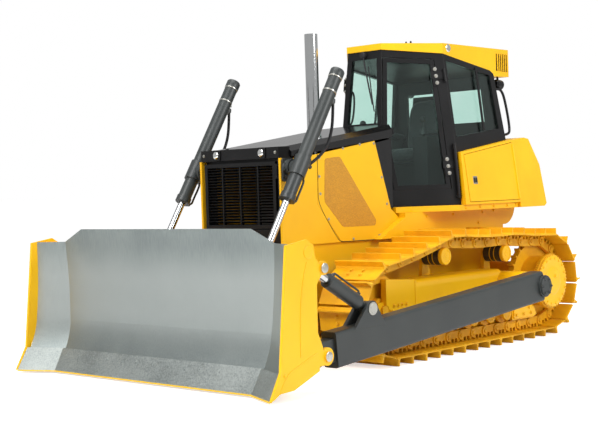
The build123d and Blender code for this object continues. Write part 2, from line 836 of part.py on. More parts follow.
def cab_shape(inset, low_z):
    """Solid shape of the cab with its walls moved in by `inset`."""
    top_z = roof_top_z - 20
    with BuildPart(mode=Mode.PRIVATE) as shape:
        for z in (low_z, top_z):
            with BuildSketch(Plane.XY.offset(z)):
                Polygon(*cab_plan(z), align=None)
                if inset:
                    offset(amount=-inset, kind=Kind.INTERSECTION)
        loft(ruled=True)
        with BuildSketch(Plane.YZ):
            under = [(y, z - inset - seat_gap) for y, z in roof_under]
            Polygon(*under, (2400, 3200), (400, 3200), align=None)
            top_y = cab_rear_y - rear_lean * (top_z - rear_lean_z)
            Polygon(
                (cab_rear_y - inset, rear_lean_z),
                (cab_end_y, rear_lean_z),
                (cab_end_y, top_z),
                (top_y - inset, top_z),
                align=None,
            )
        extrude(amount=cab_half + 60, both=True, mode=Mode.SUBTRACT)
        # the lockers stand in notches beside the operator's room
        for side, s in sides:
            with BuildSketch(Plane.YZ.offset(s * (locker_in_x - inset - seat_gap))):
                front_y = cab_hinge_y + cab_wall - inset
                Polygon(
                    (front_y, low_z),
                    (front_y, locker_top(front_y) + inset + seat_gap),
                    (cab_end_y, locker_top(cab_end_y) + inset + seat_gap),
                    (cab_end_y, low_z),
                    align=None,
                )
            extrude(amount=s * cab_half, mode=Mode.SUBTRACT)
    return shape.part


# windows through the front, side and rear walls: plane, outline, depth each way
windows = (
    (Plane.XZ.offset(-cab_front_y - 90), ((-198, 2250), (198, 2250), (162, 2905), (-162, 2905)), 110),
    (Plane.YZ, ((1106, 2087), (1904, 2185), (1869, 2752), (1106, 2868)), cab_half),
    (Plane.XZ.offset(-cab_rear_y), ((-520, 2270), (520, 2270), (500, 2640), (-500, 2640)), 90),
)


def window_prisms(inset):
    """Prisms through the window openings, drawn in by `inset`."""
    with BuildPart(mode=Mode.PRIVATE) as prisms:
        for plane, outline, reach in windows:
            with BuildSketch(plane):
                Polygon(*outline, align=None)
                if inset:
                    offset(amount=-inset, kind=Kind.INTERSECTION)
            extrude(amount=reach, both=True)
    return prisms.part


cab_outside = cab_shape(0, cab_low_z)
cab_inside = cab_shape(cab_wall, cab_floor_z)
open_windows = window_prisms(0)
with BuildPart() as cab_frame:
    add(cab_outside)
    add(cab_inside, mode=Mode.SUBTRACT)
    for plane in door_planes:
        with BuildSketch(plane):
            Polygon(*door_outline, align=None)
        extrude(amount=cab_wall * 1.6, both=True, mode=Mode.SUBTRACT)
    add(open_windows, mode=Mode.SUBTRACT)
    # hinge knuckles above and below each door barrel, with the pin through them
    for side, s in sides:
        for z in hinge_zs:
            hinge_plane = Plane(
                origin=hinge_point(s, z), x_dir=(0, 1, 0), z_dir=(-s * side_lean, 0, 1)
            )
            for low in (-hinge_half - 1 - knuckle, hinge_half + 1):
                with BuildSketch(hinge_plane.offset(low)):
                    Circle(hinge_r)
                    Rectangle(
                        hinge_out + 4, 16, rotation=s * door_angle, align=(Align.MIN, Align.CENTER)
                    )
                extrude(amount=knuckle)
            with BuildSketch(hinge_plane):
                Circle(hinge_pin_r)
            extrude(amount=hinge_half + 2, both=True)
cab_frame.part.label = "cab_frame"
export_step(cab_frame.part, "parts/cab_frame.step")

# fixed panes, set in the middle of their walls
pane_outside = cab_shape((cab_wall - glass) / 2, cab_low_z)
pane_inside = cab_shape((cab_wall + glass) / 2, cab_low_z - 1)
pane_prisms = window_prisms(seat_gap)
with BuildPart() as cab_glass:
    add(pane_outside)
    add(pane_inside, mode=Mode.SUBTRACT)
    add(pane_prisms, mode=Mode.INTERSECT)
cab_glass.part.label = "cab_glass"
export_step(cab_glass.part, "parts/cab_glass.step")

# roof: its plan follows the cab's, its side outline holds the cooling unit
with BuildPart() as cab_roof:
    with BuildSketch(Plane.XY.offset(roof_low_z)):
        Polygon(*cab_plan(roof_top_z - 50, 2255), align=None)
        offset(amount=roof_lip, kind=Kind.INTERSECTION)
    extrude(amount=roof_top_z + 100 - roof_low_z)
    with BuildSketch(Plane.YZ):
        Polygon(
            *roof_under[:4],
            (2273, 2754),
            (2267, roof_top_z - 4),
            (1000, roof_top_z - 4),
            (400, roof_top_z + 8),
            align=None,
        )
    extrude(amount=cab_half + 60, both=True, mode=Mode.INTERSECT)
cab_roof.part.label = "cab_roof"
export_step(cab_roof.part, "parts/cab_roof.step")

# doors, hinged at their rear edge
for (side, s), plane in zip(sides, door_planes):
    with BuildPart() as cab_door:
        with BuildSketch(plane):
            Polygon(*door_outline, align=None)
            offset(amount=-door_gap, kind=Kind.INTERSECTION)
        extrude(amount=-s * (cab_wall - 4))
        with BuildSketch(plane):
            Polygon(*door_outline, align=None)
            offset(amount=-door_gap - door_rim, kind=Kind.INTERSECTION)
        extrude(amount=cab_wall * 1.6, both=True, mode=Mode.SUBTRACT)
        for z in hinge_zs:
            leaf_u = across(1, z) - door_rear_u - door_gap
            hinge_u = across(1, z) - hinge_in
            with BuildSketch(plane):
                with Locations((leaf_u - door_rim / 2 - 4, up(z))):
                    Rectangle(door_rim + 8, 2 * hinge_half - 10)
            extrude(amount=s * 12)
            with BuildSketch(plane.offset(s * 4)):
                with Locations((leaf_u - 20, up(z))):
                    Rectangle(hinge_u - leaf_u + 20, 2 * hinge_half - 10, align=(Align.MIN, Align.CENTER))
            extrude(amount=s * 8)
            hinge_plane = Plane(
                origin=hinge_point(s, z), x_dir=(0, 1, 0), z_dir=(-s * side_lean, 0, 1)
            )
            with BuildSketch(hinge_plane):
                Circle(hinge_r)
            extrude(amount=hinge_half, both=True)
            with BuildSketch(hinge_plane):
                Circle(hinge_pin_r + seat_gap)
            extrude(amount=hinge_half + 5, both=True, mode=Mode.SUBTRACT)
    cab_door.part.label = f"cab_door_{side}"
    export_step(cab_door.part, f"parts/cab_door_{side}.step")

    with BuildPart() as door_glass:
        with BuildSketch(plane.offset(-s * cab_wall / 2)):
            Polygon(*door_outline, align=None)
            offset(amount=-door_gap - door_rim - seat_gap, kind=Kind.INTERSECTION)
        extrude(amount=-s * glass)
    door_glass.part.label = f"door_glass_{side}"
    export_step(door_glass.part, f"parts/door_glass_{side}.step")

# seat, consoles and levers
with BuildPart() as seat:
    with Locations((0, 1330, cab_floor_z + 150 + seat_gap)):
        Box(300, 340, 300)
    with Locations((0, 1300, 1925)):
        Box(500, 500, 160)
    with BuildSketch(Plane.YZ):
        Polygon((1480, 1880), (1580, 1900), (1690, 2560), (1600, 2580), align=None)
    extrude(amount=240, both=True)
seat.part.label = "seat"
export_step(seat.part, "parts/seat.step")

console_x = 400
lever_y = 1010
dash_low_z = 1580
dash_top_z = 2140
dash_y = cab_plan(dash_low_z)[0][1] + cab_wall + seat_gap
with BuildPart() as consoles:
    for side, s in sides:
        with Locations((s * console_x, 1250, cab_floor_z + 280 + seat_gap)):
            Box(180, 620, 560)
        with BuildSketch(Plane.XY.offset(cab_floor_z + 540)):
            with Locations((s * console_x, lever_y)):
                Circle(16)
        extrude(amount=190)
        with Locations((s * console_x, lever_y, cab_floor_z + 740)):
            Sphere(34)
    with BuildSketch(Plane.YZ):
        Polygon(
            (dash_y, dash_low_z),
            (dash_y + front_lean * (dash_top_z - dash_low_z), dash_top_z),
            (dash_y + 240, dash_top_z),
            (dash_y + 200, dash_low_z),
            align=None,
        )
    extrude(amount=160, both=True)
consoles.part.label = "consoles"
export_step(consoles.part, "parts/consoles.step")

# cowl between the engine shields and the cab
cowl_half = hood_half - shield - 3
cowl_front_y = -60
cowl_low_z = cab_low_z + seat_gap
cowl_top_z = 2090
cowl_plate = 12
cowl_rear_y = cab_plan(cab_low_z)[0][1] - panel_gap
cowl_cut_y = 350            # its rear corners are cut off like the hood's
cowl_cut_x = 395


def cowl_plan(inset, front_y):
    """Plan of the cowl drawn in by `inset`, open at its front."""
    half = [
        (cowl_half - inset, front_y),
        (cowl_half - inset, cowl_cut_y - 0.5 * inset),
        (cowl_cut_x - 0.5 * inset, cowl_rear_y - inset),
    ]
    return half + [(-x, y) for x, y in reversed(half)]


with BuildPart() as cowl:
    with BuildSketch(Plane.XY.offset(cowl_low_z)):
        Polygon(*cowl_plan(0, cowl_front_y), align=None)
        Polygon(*cowl_plan(cowl_plate, cowl_front_y - 50), align=None, mode=Mode.SUBTRACT)
    extrude(amount=cowl_top_z - cowl_low_z)
    with BuildSketch(Plane.YZ):
        Polygon(
            (cowl_front_y - 60, cowl_top_z - 92),
            (cowl_rear_y + 10, cowl_top_z),
            (cowl_front_y - 60, cowl_top_z + 10),
            align=None,
        )
    extrude(amount=cowl_half + 10, both=True, mode=Mode.SUBTRACT)
cowl.part.label = "cowl"
export_step(cowl.part, "parts/cowl.step")

# ---------------------------------------------------------------- rear body
with BuildPart() as upper_frame:
    with BuildSketch(Plane.YZ):
        with BuildLine():
            Polyline(
                (2125, 1161),
                (2125, deck_z + seat_gap),
                *frame_slope,
                (402, tank_low_z),
                (2360, tank_low_z),
                (2360, 1330),
            )
            RadiusArc((2360, 1330), (2125, 1161), 215)
        make_face()
    extrude(amount=fender_half, both=True)
upper_frame.part.label = "upper_frame"
export_step(upper_frame.part, "parts/upper_frame.step")

platform_plan = ((528, 352), (528, 600), (870, 942), (870, 2010))
with BuildPart() as platform:
    with BuildSketch(Plane.XY.offset(tank_low_z + seat_gap)):
        Polygon(*platform_plan, *[(-x, y) for x, y in reversed(platform_plan)], align=None)
    extrude(amount=cab_low_z - tank_low_z - 2 * seat_gap)
platform.part.label = "platform"
export_step(platform.part, "parts/platform.step")


# Planes of the lockers' outer faces, with y along and up the face
side_planes = [
    Plane(origin=(s * locker_half, 0, cab_low_z), x_dir=(0, 1, 0), z_dir=(1, 0, s * side_lean))
    for side, s in sides
]
side_stretch = (1 + side_lean ** 2) ** 0.5


def locker_face(front_y, rear_y, low_z, drop):
    """Outline on a locker's face, with its top edge `drop` below the locker's."""
    corners = (
        (front_y, low_z),
        (front_y, locker_top(front_y) - drop),
        (rear_y, locker_top(rear_y) - drop),
        (rear_y, low_z),
    )
    return [(y, (z - cab_low_z) * side_stretch) for y, z in corners]


locker_recess = locker_door + 2
locker_depth = 170
opening_outline = locker_face(locker_door_front_y, locker_hinge_y, locker_door_low_z, locker_door_top)
cavity_outline = locker_face(
    cab_hinge_y + cab_wall + locker_shell,
    locker_hinge_y - locker_shell,
    locker_door_low_z + locker_shell,
    locker_door_top + locker_shell,
)
locker_span = ((locker_in_x, 1300), (locker_x(1300), 1300), (locker_x(2200), 2200), (locker_in_x, 2200))
locker_front = ((600, 900), (910, 900), (910, 1011), (770, 1070), (600, 1070))
piano_out = piano_r + seat_gap
piano_y = locker_hinge_y - 1
piano_low_z = locker_door_low_z + 10
piano_length = locker_top(locker_hinge_y) - locker_door_top - piano_low_z - 15
cab_room = cab_shape(-seat_gap, cab_low_z - 1)
with BuildPart() as compartments:
    with BuildSketch(Plane.YZ):
        Polygon(
            (cab_hinge_y - 60, cab_low_z + seat_gap),
            (cab_hinge_y - 60, locker_top(cab_hinge_y - 60)),
            (tank_front_y, locker_top(tank_front_y)),
            (tank_front_y, cab_low_z + seat_gap),
            align=None,
        )
    extrude(amount=locker_half + 10, both=True)
    with BuildSketch(Plane.XZ):
        for side, s in sides:
            Polygon(*[(s * x, z) for x, z in locker_span], align=None)
    extrude(amount=cab_end_y, both=True, mode=Mode.INTERSECT)
    # the front slants back behind the lower door hinge
    with BuildSketch(Plane.XY.offset(cab_low_z)):
        for side, s in sides:
            Polygon(*[(s * x, y) for x, y in locker_front], align=None)
    extrude(amount=1000, mode=Mode.SUBTRACT)
    add(cab_room, mode=Mode.SUBTRACT)
    for (side, s), plane in zip(sides, side_planes):
        with BuildSketch(plane):
            Polygon(*opening_outline, align=None)
        extrude(amount=-s * locker_recess, mode=Mode.SUBTRACT)
        with BuildSketch(plane):
            Polygon(*cavity_outline, align=None)
        extrude(amount=-s * locker_depth, mode=Mode.SUBTRACT)
compartments.part.label = "compartments"
export_step(compartments.part, "parts/compartments.step")

# locker doors, each on a piano hinge at its rear edge
for (side, s), plane in zip(sides, side_planes):
    with BuildPart() as compartment_door:
        with BuildSketch(plane.offset(s * locker_proud)):
            Polygon(*opening_outline, align=None)
            offset(amount=-locker_gap, kind=Kind.INTERSECTION)
        extrude(amount=-s * locker_door)
        rod_plane = Plane(
            origin=(s * (locker_x(piano_low_z) + piano_out), piano_y, piano_low_z),
            x_dir=(0, 1, 0),
            z_dir=(-s * side_lean, 0, 1),
        )
        with BuildSketch(rod_plane):
            Circle(piano_r)
        extrude(amount=piano_length)
    compartment_door.part.label = f"compartment_door_{side}"
    export_step(compartment_door.part, f"parts/compartment_door_{side}.step")

tank_outline = (
    (tank_front_y + seat_gap, tank_low_z + 2 * seat_gap),
    (tank_front_y + seat_gap, 2057),
    (2257, 2088),
    (2342, 2075),
    (2495, 1795),
    (2533, 1372),
    (2485, tank_low_z + 2 * seat_gap),
)
tank_span = (
    (locker_x(1300), 1300),
    (locker_x(2200), 2200),
    (-locker_x(2200), 2200),
    (-locker_x(1300), 1300),
)
with BuildPart() as rear_tank:
    with BuildSketch(Plane.YZ):
        Polygon(*tank_outline, align=None)
    extrude(amount=locker_half + 20, both=True)
    with BuildSketch(Plane.XZ):
        Polygon(*tank_span, align=None)
    extrude(amount=cab_end_y, both=True, mode=Mode.INTERSECT)
rear_tank.part.label = "rear_tank"
export_step(rear_tank.part, "parts/rear_tank.step")

# ---------------------------------------------------------------- blade
# Side outline of the moldboard's face: a tight curve above the cutting edge, then a
# gentle one. A wing has the same outline, carried forward along its slanting fold.
fold_slope = (fold_high_x - fold_low_x) / blade_shoulder_z
wing_shear = wing_forward * fold_slope
along_edge = Vector(cos(radians(edge_angle)), sin(radians(edge_angle)))
off_edge = Vector(sin(radians(edge_angle)), -cos(radians(edge_angle)))
lip = Vector(blade_edge_y, blade_edge_z)
edge_top = lip + along_edge * edge_length
foot = edge_top + off_edge * (edge_plate + seat_gap)

edge_lap = 95               # how far the moldboard laps down behind the cutting edge
region_low_z = -100         # height range and sideways reach of the regions ahead of it
region_top_z = 1500
region_run = 1.2 * (fold_low_x + blade_half)


def blade_profile(back, shear):
    """Five points up the surface `back` mm behind the moldboard's face, carried forward by `shear`."""
    points = [foot + off_edge * back]
    for radius, turn, start in ((toe_r, toe_turn, edge_angle), (face_r, face_turn, edge_angle + toe_turn)):
        base = points[-1]
        begin = radians(start)
        for part in (0.5, 1):
            end = radians(start + turn * part)
            step = Vector(sin(end) - sin(begin), cos(begin) - cos(end))
            points.append(base + step * (radius - back))
    return [Vector(p.X + shear * p.Y, p.Y) for p in points]


def front_region(shear, back):
    """Draw the side region ahead of the surface `back` mm behind the moldboard's face."""
    points = blade_profile(back, shear)
    foot_slope = 1 / tan(radians(edge_angle)) + shear
    top_slope = 1 / tan(radians(edge_angle + toe_turn + face_turn)) + shear
    foot_y = points[0].X - foot_slope * (points[0].Y - region_low_z)
    top_y = points[4].X + top_slope * (region_top_z - points[4].Y)
    front_y = -2 * region_run
    outline = [(top_y, region_top_z), (front_y, region_top_z)]
    outline += [(front_y, region_low_z), (foot_y, region_low_z)]
    with BuildLine() as edge:
        ThreePointArc(*points[0:3])
        ThreePointArc(*points[2:5])
        Polyline(points[4], *outline, points[0])
    make_face(edge.edges())


def front_block(back):
    """Solid ahead of the surface `back` mm behind the moldboard's face, across the whole blade."""
    with BuildPart(mode=Mode.PRIVATE) as block:
        with BuildSketch(Plane.YZ):
            front_region(0, back)
        extrude(amount=blade_half + 10, both=True)
        for wing in (1, -1):
            with BuildSketch(Plane.YZ.offset(wing * fold_low_x)):
                front_region(wing_shear, back)
            extrude(amount=region_run, both=True, dir=(wing, -wing_forward, 0), mode=Mode.INTERSECT)
    return block.part


def edge_strip(shear):
    """Draw the cutting edge's section, with its foot ground level with the ground."""
    back = edge_plate / sin(radians(edge_angle))
    corners = (lip, edge_top, edge_top + off_edge * edge_plate, lip + Vector(back, 0))
    Polygon(*[(p.X + shear * p.Y, p.Y) for p in corners], align=None)


below = 40
fold_foot = (fold_low_x - fold_slope * below, -below)
wing_front = (
    fold_foot,
    (fold_high_x, blade_shoulder_z),
    (blade_half, blade_shoulder_z),
    (blade_half, -below),
)
centre_front = (fold_foot, (fold_high_x, blade_shoulder_z), (blade_flat_half, blade_top_z))
wing_run = (blade_half - fold_low_x) * (1 + wing_forward ** 2) ** 0.5


def across_blade():
    """Carry the cutting edge's section along the middle of the blade and along both wings."""
    pieces = []
    for wing in (0, 1, -1):
        with BuildPart(mode=Mode.PRIVATE) as piece:
            with BuildSketch(Plane.YZ.offset(wing * fold_low_x)):
                edge_strip(wing_shear if wing else 0)
            if wing:
                extrude(amount=wing_run, dir=(wing, -wing_forward, 0))
            else:
                extrude(amount=fold_high_x + 10, both=True)
            with BuildSketch(Plane.XZ):
                if wing:
                    Polygon(*[(wing * x, z) for x, z in wing_front], align=None)
                else:
                    Polygon(*centre_front, *[(-x, z) for x, z in reversed(centre_front)], align=None)
            extrude(amount=4000, both=True, mode=Mode.INTERSECT)
        pieces.append(piece.part)
    with BuildPart(mode=Mode.PRIVATE) as joined:
        for piece in pieces:
            add(piece)
    return joined.part


skirt_z = (foot - along_edge * edge_lap).Y
blade_corners = ((blade_half, skirt_z), (blade_half, blade_shoulder_z), *centre_front[1:])
with BuildPart() as moldboard:
    add(front_block(moldboard_skin))
    add(front_block(0), mode=Mode.SUBTRACT)
    with BuildSketch(Plane.XZ):
        Polygon(*blade_corners, *[(-x, z) for x, z in reversed(blade_corners)], align=None)
    extrude(amount=2 * region_run, both=True, mode=Mode.INTERSECT)
moldboard.part.label = "moldboard"
export_step(moldboard.part, "parts/moldboard.step")

with BuildPart() as cutting_edge:
    add(across_blade())
cutting_edge.part.label = "cutting_edge"
export_step(cutting_edge.part, "parts/cutting_edge.step")

# Frame welded to the moldboard's back: boxes, ribs, ears of the push beams and
# links, and the ears of the lift cylinders. Each outline runs forward past the
# moldboard and is trimmed by it.
into_skin = -2450
box_outlines = (
    ((into_skin, 190), (-2150, 190), (-2110, 330), (-2110, 480), (-2190, 560), (into_skin, 560)),
    ((into_skin, 1010), (-2165, 1010), (-2120, 1090), (-2120, 1150), (into_skin, 1165)),
)
rib_xs = (0, 340, 1010, -340, -1010)
front_eye_r = 95
tilt_eye_r = 68
lift_ear = 24
with BuildPart() as blade_frame:
    for outline in box_outlines:
        with BuildSketch(Plane.YZ):
            Polygon(*outline, align=None)
        extrude(amount=blade_half - 4, both=True)
    for x in rib_xs:
        with BuildSketch(Plane.YZ.offset(x)):
            Polygon((into_skin, 500), (-2130, 500), (-2150, 1080), (into_skin, 1080), align=None)
        extrude(amount=11, both=True)
    for side, s in sides:
        with BuildSketch(Plane.YZ.offset(s * (ear_in_x - ear))):
            Polygon(
                (into_skin, 195),
                (front_pin_y - 60, 205),
                (front_pin_y - 60, 365),
                (into_skin, 600),
                align=None,
            )
            Polygon(
                (into_skin, 830),
                (tilt_pin_y - 40, 935),
                (tilt_pin_y - 40, 1043),
                (into_skin, 1130),
                align=None,
            )
            for y, z, r in ((front_pin_y, front_pin_z, front_eye_r), (tilt_pin_y, tilt_pin_z, tilt_eye_r)):
                with Locations((y, z)):
                    Circle(r)
            for y, z, r in ((front_pin_y, front_pin_z, front_pin_r), (tilt_pin_y, tilt_pin_z, tilt_pin_r)):
                with Locations((y, z)):
                    Circle(r + seat_gap, mode=Mode.SUBTRACT)
        extrude(amount=s * ear)
        lug_room = lift_eye_width / 2 + lift_eye_drift
        for lug_x in (lift_x - lug_room - lift_ear, lift_x + lug_room):
            with BuildSketch(Plane.YZ.offset(s * lug_x)):
                Polygon(
                    (into_skin, 560),
                    (-2190, 560),
                    (lift_eye_y + 20, lift_eye_z - 67),
                    (lift_eye_y, lift_eye_z + 70),
                    (-2190, 1010),
                    (into_skin, 1010),
                    align=None,
                )
                with Locations((lift_eye_y, lift_eye_z)):
                    Circle(70)
            extrude(amount=s * lift_ear)
    add(front_block(moldboard_skin + seat_gap), mode=Mode.SUBTRACT)
blade_frame.part.label = "blade_frame"
export_step(blade_frame.part, "parts/blade_frame.step")

# end plates, each with the outer lobes and the pins of its push beam and link
cheek_outline = (
    (-2424, 1187),
    (-2190, 1222),
    (-2116, 1175),
    (-2098, 1069),
    (-2060, 1042),
    (-2030, 936),
    (-2090, 866),
    (-2094, 490),
    (-2040, 370),
    (-2030, 226),
    (-2083, 226),
    (-2088, 190),
    (-2384, 80),
    (-2541, 73),
    (-2600, 40),
    (-2640, 26),
    (-2525, 229),
)
pin_head = 16
pin_lobes = (
    # pin's y, z, r, and the radius of the lobe round it
    (front_pin_y, front_pin_z, front_pin_r, 72),
    (tilt_pin_y, tilt_pin_z, tilt_pin_r, 56),
)
with BuildPart() as end_plates:
    for side, s in sides:
        with BuildSketch(Plane.YZ.offset(s * (blade_half + seat_gap))):
            Polygon(*cheek_outline, align=None)
            for y, z, r, lobe_r in pin_lobes:
                with Locations((y, z)):
                    Circle(lobe_r)
        extrude(amount=s * cheek)
        for y, z, r, lobe_r in pin_lobes:
            with BuildSketch(Plane.YZ.offset(s * (ear_in_x - ear))):
                with Locations((y, z)):
                    Circle(r)
            extrude(amount=s * (blade_half + cheek + pin_head - ear_in_x + ear))
    # the right front pin carries the blade on a narrow collar
    with BuildSketch(Plane.YZ.offset(-beam_x)):
        with Locations((front_pin_y, front_pin_z)):
            Circle(front_pin_r + front_pin_drift - seat_gap)
    extrude(amount=collar_half, both=True)
end_plates.part.label = "end_plates"
export_step(end_plates.part, "parts/end_plates.step")

# ---------------------------------------------------------------- push beams
beam_run = distance(trunnion_y, trunnion_z, front_pin_y, front_pin_z)
nose_length = 205
for side, s in sides:
    with BuildPart() as push_beam:
        with BuildSketch(Plane.YZ.offset(s * beam_in_x)):
            with Locations(Location((trunnion_y, trunnion_z, 0), (0, 0, beam_angle))):
                Rectangle(beam_run - nose_length, beam_height, align=(Align.MAX, Align.CENTER))
        extrude(amount=s * (beam_out_x - beam_in_x))
        fillet(push_beam.edges().filter_by(Axis.X, reverse=True).filter_by(lambda e: e.length > 1000), 26)
        with BuildSketch(Plane.YZ.offset(s * beam_in_x)):
            with Locations((trunnion_y, trunnion_z)):
                Circle(trunnion_r + 38)
        extrude(amount=s * (beam_out_x + 22 - beam_in_x))
        with BuildSketch(Plane.YZ.offset(s * (beam_in_x + 28))):
            with Locations((front_pin_y, front_pin_z)):
                Circle(front_eye_r + 6)
            with Locations(Location((front_pin_y, front_pin_z, 0), (0, 0, beam_angle))):
                Rectangle(nose_length + 80, 190, align=(Align.MIN, Align.CENTER))
        extrude(amount=s * (beam_out_x - beam_in_x - 56))
        for ear_x in (link_x - link_eye_width / 2 - 6 - bracket_ear, link_x + link_eye_width / 2 + 6):
            with BuildSketch(Plane.YZ.offset(s * ear_x)):
                Polygon(
                    (bracket_y - 230, bracket_z - 150),
                    (bracket_y + 170, bracket_z - 150),
                    (bracket_y + 62, bracket_z + 20),
                    (bracket_y - 50, bracket_z + 45),
                    align=None,
                )
                with Locations((bracket_y, bracket_z)):
                    Circle(66)
            extrude(amount=s * bracket_ear)
        with BuildSketch(Plane.YZ.offset(s * (link_x - 75))):
            with Locations((bracket_y, bracket_z)):
                Circle(link_pin_r)
        extrude(amount=s * 158)
        with BuildSketch(Plane.YZ.offset(s * link_x)):
            with Locations((bracket_y, bracket_z)):
                Circle(link_pin_r + link_pin_room - seat_gap)
        extrude(amount=collar_half, both=True)
        with BuildSketch(Plane.YZ.offset(s * (beam_in_x - 10))):
            with Locations((trunnion_y, trunnion_z)):
                Circle(trunnion_r + 1)
        extrude(amount=s * (beam_out_x - beam_in_x + 6), mode=Mode.SUBTRACT)
        with BuildSketch(Plane.YZ.offset(s * (beam_in_x - 10))):
            with Locations((front_pin_y, front_pin_z)):
                Circle(front_pin_r + front_pin_drift)
        extrude(amount=s * (beam_out_x - beam_in_x + 20), mode=Mode.SUBTRACT)
    push_beam.part.label = f"push_beam_{side}"
    export_step(push_beam.part, f"parts/push_beam_{side}.step")

# ---------------------------------------------------------------- cylinders
# A cylinder's own plane stands at its rear pin with Z towards the rod's eye.
lift_length = distance(lift_pivot_y, lift_pivot_z, lift_eye_y, lift_eye_z)
for side, s in sides:
    lift_plane = Plane(
        origin=(s * lift_x, lift_pivot_y, lift_pivot_z),
        x_dir=(1, 0, 0),
        z_dir=(0, lift_eye_y - lift_pivot_y, lift_eye_z - lift_pivot_z),
    )
    with BuildPart() as lift_barrel:
        with BuildSketch(lift_plane.offset(-lift_above)):
            Circle(lift_barrel_r)
        extrude(amount=lift_above + lift_below)
        with BuildSketch(lift_plane.offset(-95)):
            Circle(lift_barrel_r + 14)
        extrude(amount=190)
        with BuildSketch(lift_plane.offset(lift_below - 60)):
            Circle(lift_barrel_r + 8)
        extrude(amount=60)
        with BuildSketch(Plane.YZ.offset(s * (lift_x - 80))):
            with Locations((lift_pivot_y, lift_pivot_z)):
                Circle(60)
        extrude(amount=s * 60)
        with BuildSketch(Plane.YZ.offset(s * (lift_x - 86))):
            with Locations((lift_pivot_y, lift_pivot_z)):
                Circle(lift_pivot_pin_r + 1)
        extrude(amount=s * 30, mode=Mode.SUBTRACT)
        with BuildSketch(lift_plane.offset(-lift_above + 40)):
            Circle(lift_bore_r)
        extrude(amount=lift_above - 40 + lift_below - 50, mode=Mode.SUBTRACT)
        with BuildSketch(lift_plane.offset(lift_below - 60)):
            Circle(lift_rod_r + 1)
        extrude(amount=70, mode=Mode.SUBTRACT)
    lift_barrel.part.label = f"lift_barrel_{side}"
    export_step(lift_barrel.part, f"parts/lift_barrel_{side}.step")

    with BuildPart() as lift_rod:
        with BuildSketch(lift_plane.offset(-lift_rod_tail)):
            Circle(lift_rod_r)
        extrude(amount=lift_length - 30 + lift_rod_tail)
        with BuildSketch(lift_plane.offset(-lift_rod_tail)):
            Circle(lift_bore_r - 1)
        extrude(amount=60)
        with BuildSketch(Plane.YZ.offset(s * lift_x)):
            with Locations((lift_eye_y, lift_eye_z)):
                Circle(lift_eye_r)
        extrude(amount=lift_eye_width / 2, both=True)
    lift_rod.part.label = f"lift_rod_{side}"
    export_step(lift_rod.part, f"parts/lift_rod_{side}.step")

tilt_length = distance(bracket_y, bracket_z, tilt_pin_y, tilt_pin_z)
barrel_from = 120
barrel_to = 545
for side, s in sides:
    link_plane = Plane(
        origin=(s * link_x, bracket_y, bracket_z),
        x_dir=(1, 0, 0),
        z_dir=(0, tilt_pin_y - bracket_y, tilt_pin_z - bracket_z),
    )
    with BuildPart() as link_barrel:
        with BuildSketch(Plane.YZ.offset(s * link_x)):
            with Locations((bracket_y, bracket_z)):
                Circle(link_eye_r)
                Circle(link_pin_r + link_pin_room, mode=Mode.SUBTRACT)
        extrude(amount=link_eye_width / 2, both=True)
        with BuildSketch(link_plane.offset(48)):
            Circle(36)
        extrude(amount=barrel_from - 48 + 1)
        with BuildSketch(link_plane.offset(barrel_from)):
            Circle(tilt_barrel_r)
        extrude(amount=barrel_to - barrel_from)
        with BuildSketch(link_plane.offset(barrel_from + 80)):
            Circle(tilt_rod_r + 1)
        extrude(amount=barrel_to - barrel_from, mode=Mode.SUBTRACT)
    link_barrel.part.label = f"link_barrel_{side}"
    export_step(link_barrel.part, f"parts/link_barrel_{side}.step")

    with BuildPart() as link_rod:
        with BuildSketch(link_plane.offset(barrel_from + 180)):
            Circle(tilt_rod_r)
        extrude(amount=tilt_length - barrel_from - 180 - 50)
        with BuildSketch(Plane.YZ.offset(s * link_x)):
            with Locations((tilt_pin_y, tilt_pin_z)):
                Circle(link_eye_r)
                Circle(tilt_pin_r + 10, mode=Mode.SUBTRACT)
        extrude(amount=link_eye_width / 2, both=True)
    link_rod.part.label = f"link_rod_{side}"
    export_step(link_rod.part, f"parts/link_rod_{side}.step")
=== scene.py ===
import math
import bmesh
import bpy
import mathutils
import numpy as np
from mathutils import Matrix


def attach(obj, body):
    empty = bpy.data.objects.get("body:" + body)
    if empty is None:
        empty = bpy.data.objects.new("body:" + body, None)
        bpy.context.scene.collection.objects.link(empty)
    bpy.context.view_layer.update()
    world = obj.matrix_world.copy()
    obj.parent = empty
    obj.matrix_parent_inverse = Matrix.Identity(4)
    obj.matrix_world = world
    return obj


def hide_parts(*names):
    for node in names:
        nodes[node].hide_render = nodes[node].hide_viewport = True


# A crawler dozer, in metres: +Z up, the blade at -Y, the machine's left at +X.
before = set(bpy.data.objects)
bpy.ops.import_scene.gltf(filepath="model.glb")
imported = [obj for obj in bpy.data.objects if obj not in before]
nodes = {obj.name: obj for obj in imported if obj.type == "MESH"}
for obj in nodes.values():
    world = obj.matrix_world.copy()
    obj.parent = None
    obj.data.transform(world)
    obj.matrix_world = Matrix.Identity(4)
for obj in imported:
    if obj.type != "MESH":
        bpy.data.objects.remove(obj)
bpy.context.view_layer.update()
sides = (("left", 1), ("right", -1))

# ---------------------------------------------------------------- track chains
# Forged links joined by pins and bushings, each with a rolled single-bar shoe held by
# four bolts. All of it is sprayed with the machine's yellow enamel at the works. The
# upper run sags a little between the carrier rollers.
track_x = 0.94
wheels = (
    # y, z and pitch radius, in the order the chain meets them
    (-0.565, 0.495, 0.357),
    (2.095, 0.562, 0.424),
    (1.459, 0.889, 0.135),
    (0.411, 0.923, 0.135),
)
span_sags = (0, 0.014, 0.02, 0.016)
link_count = 38
shoe_half = 0.28


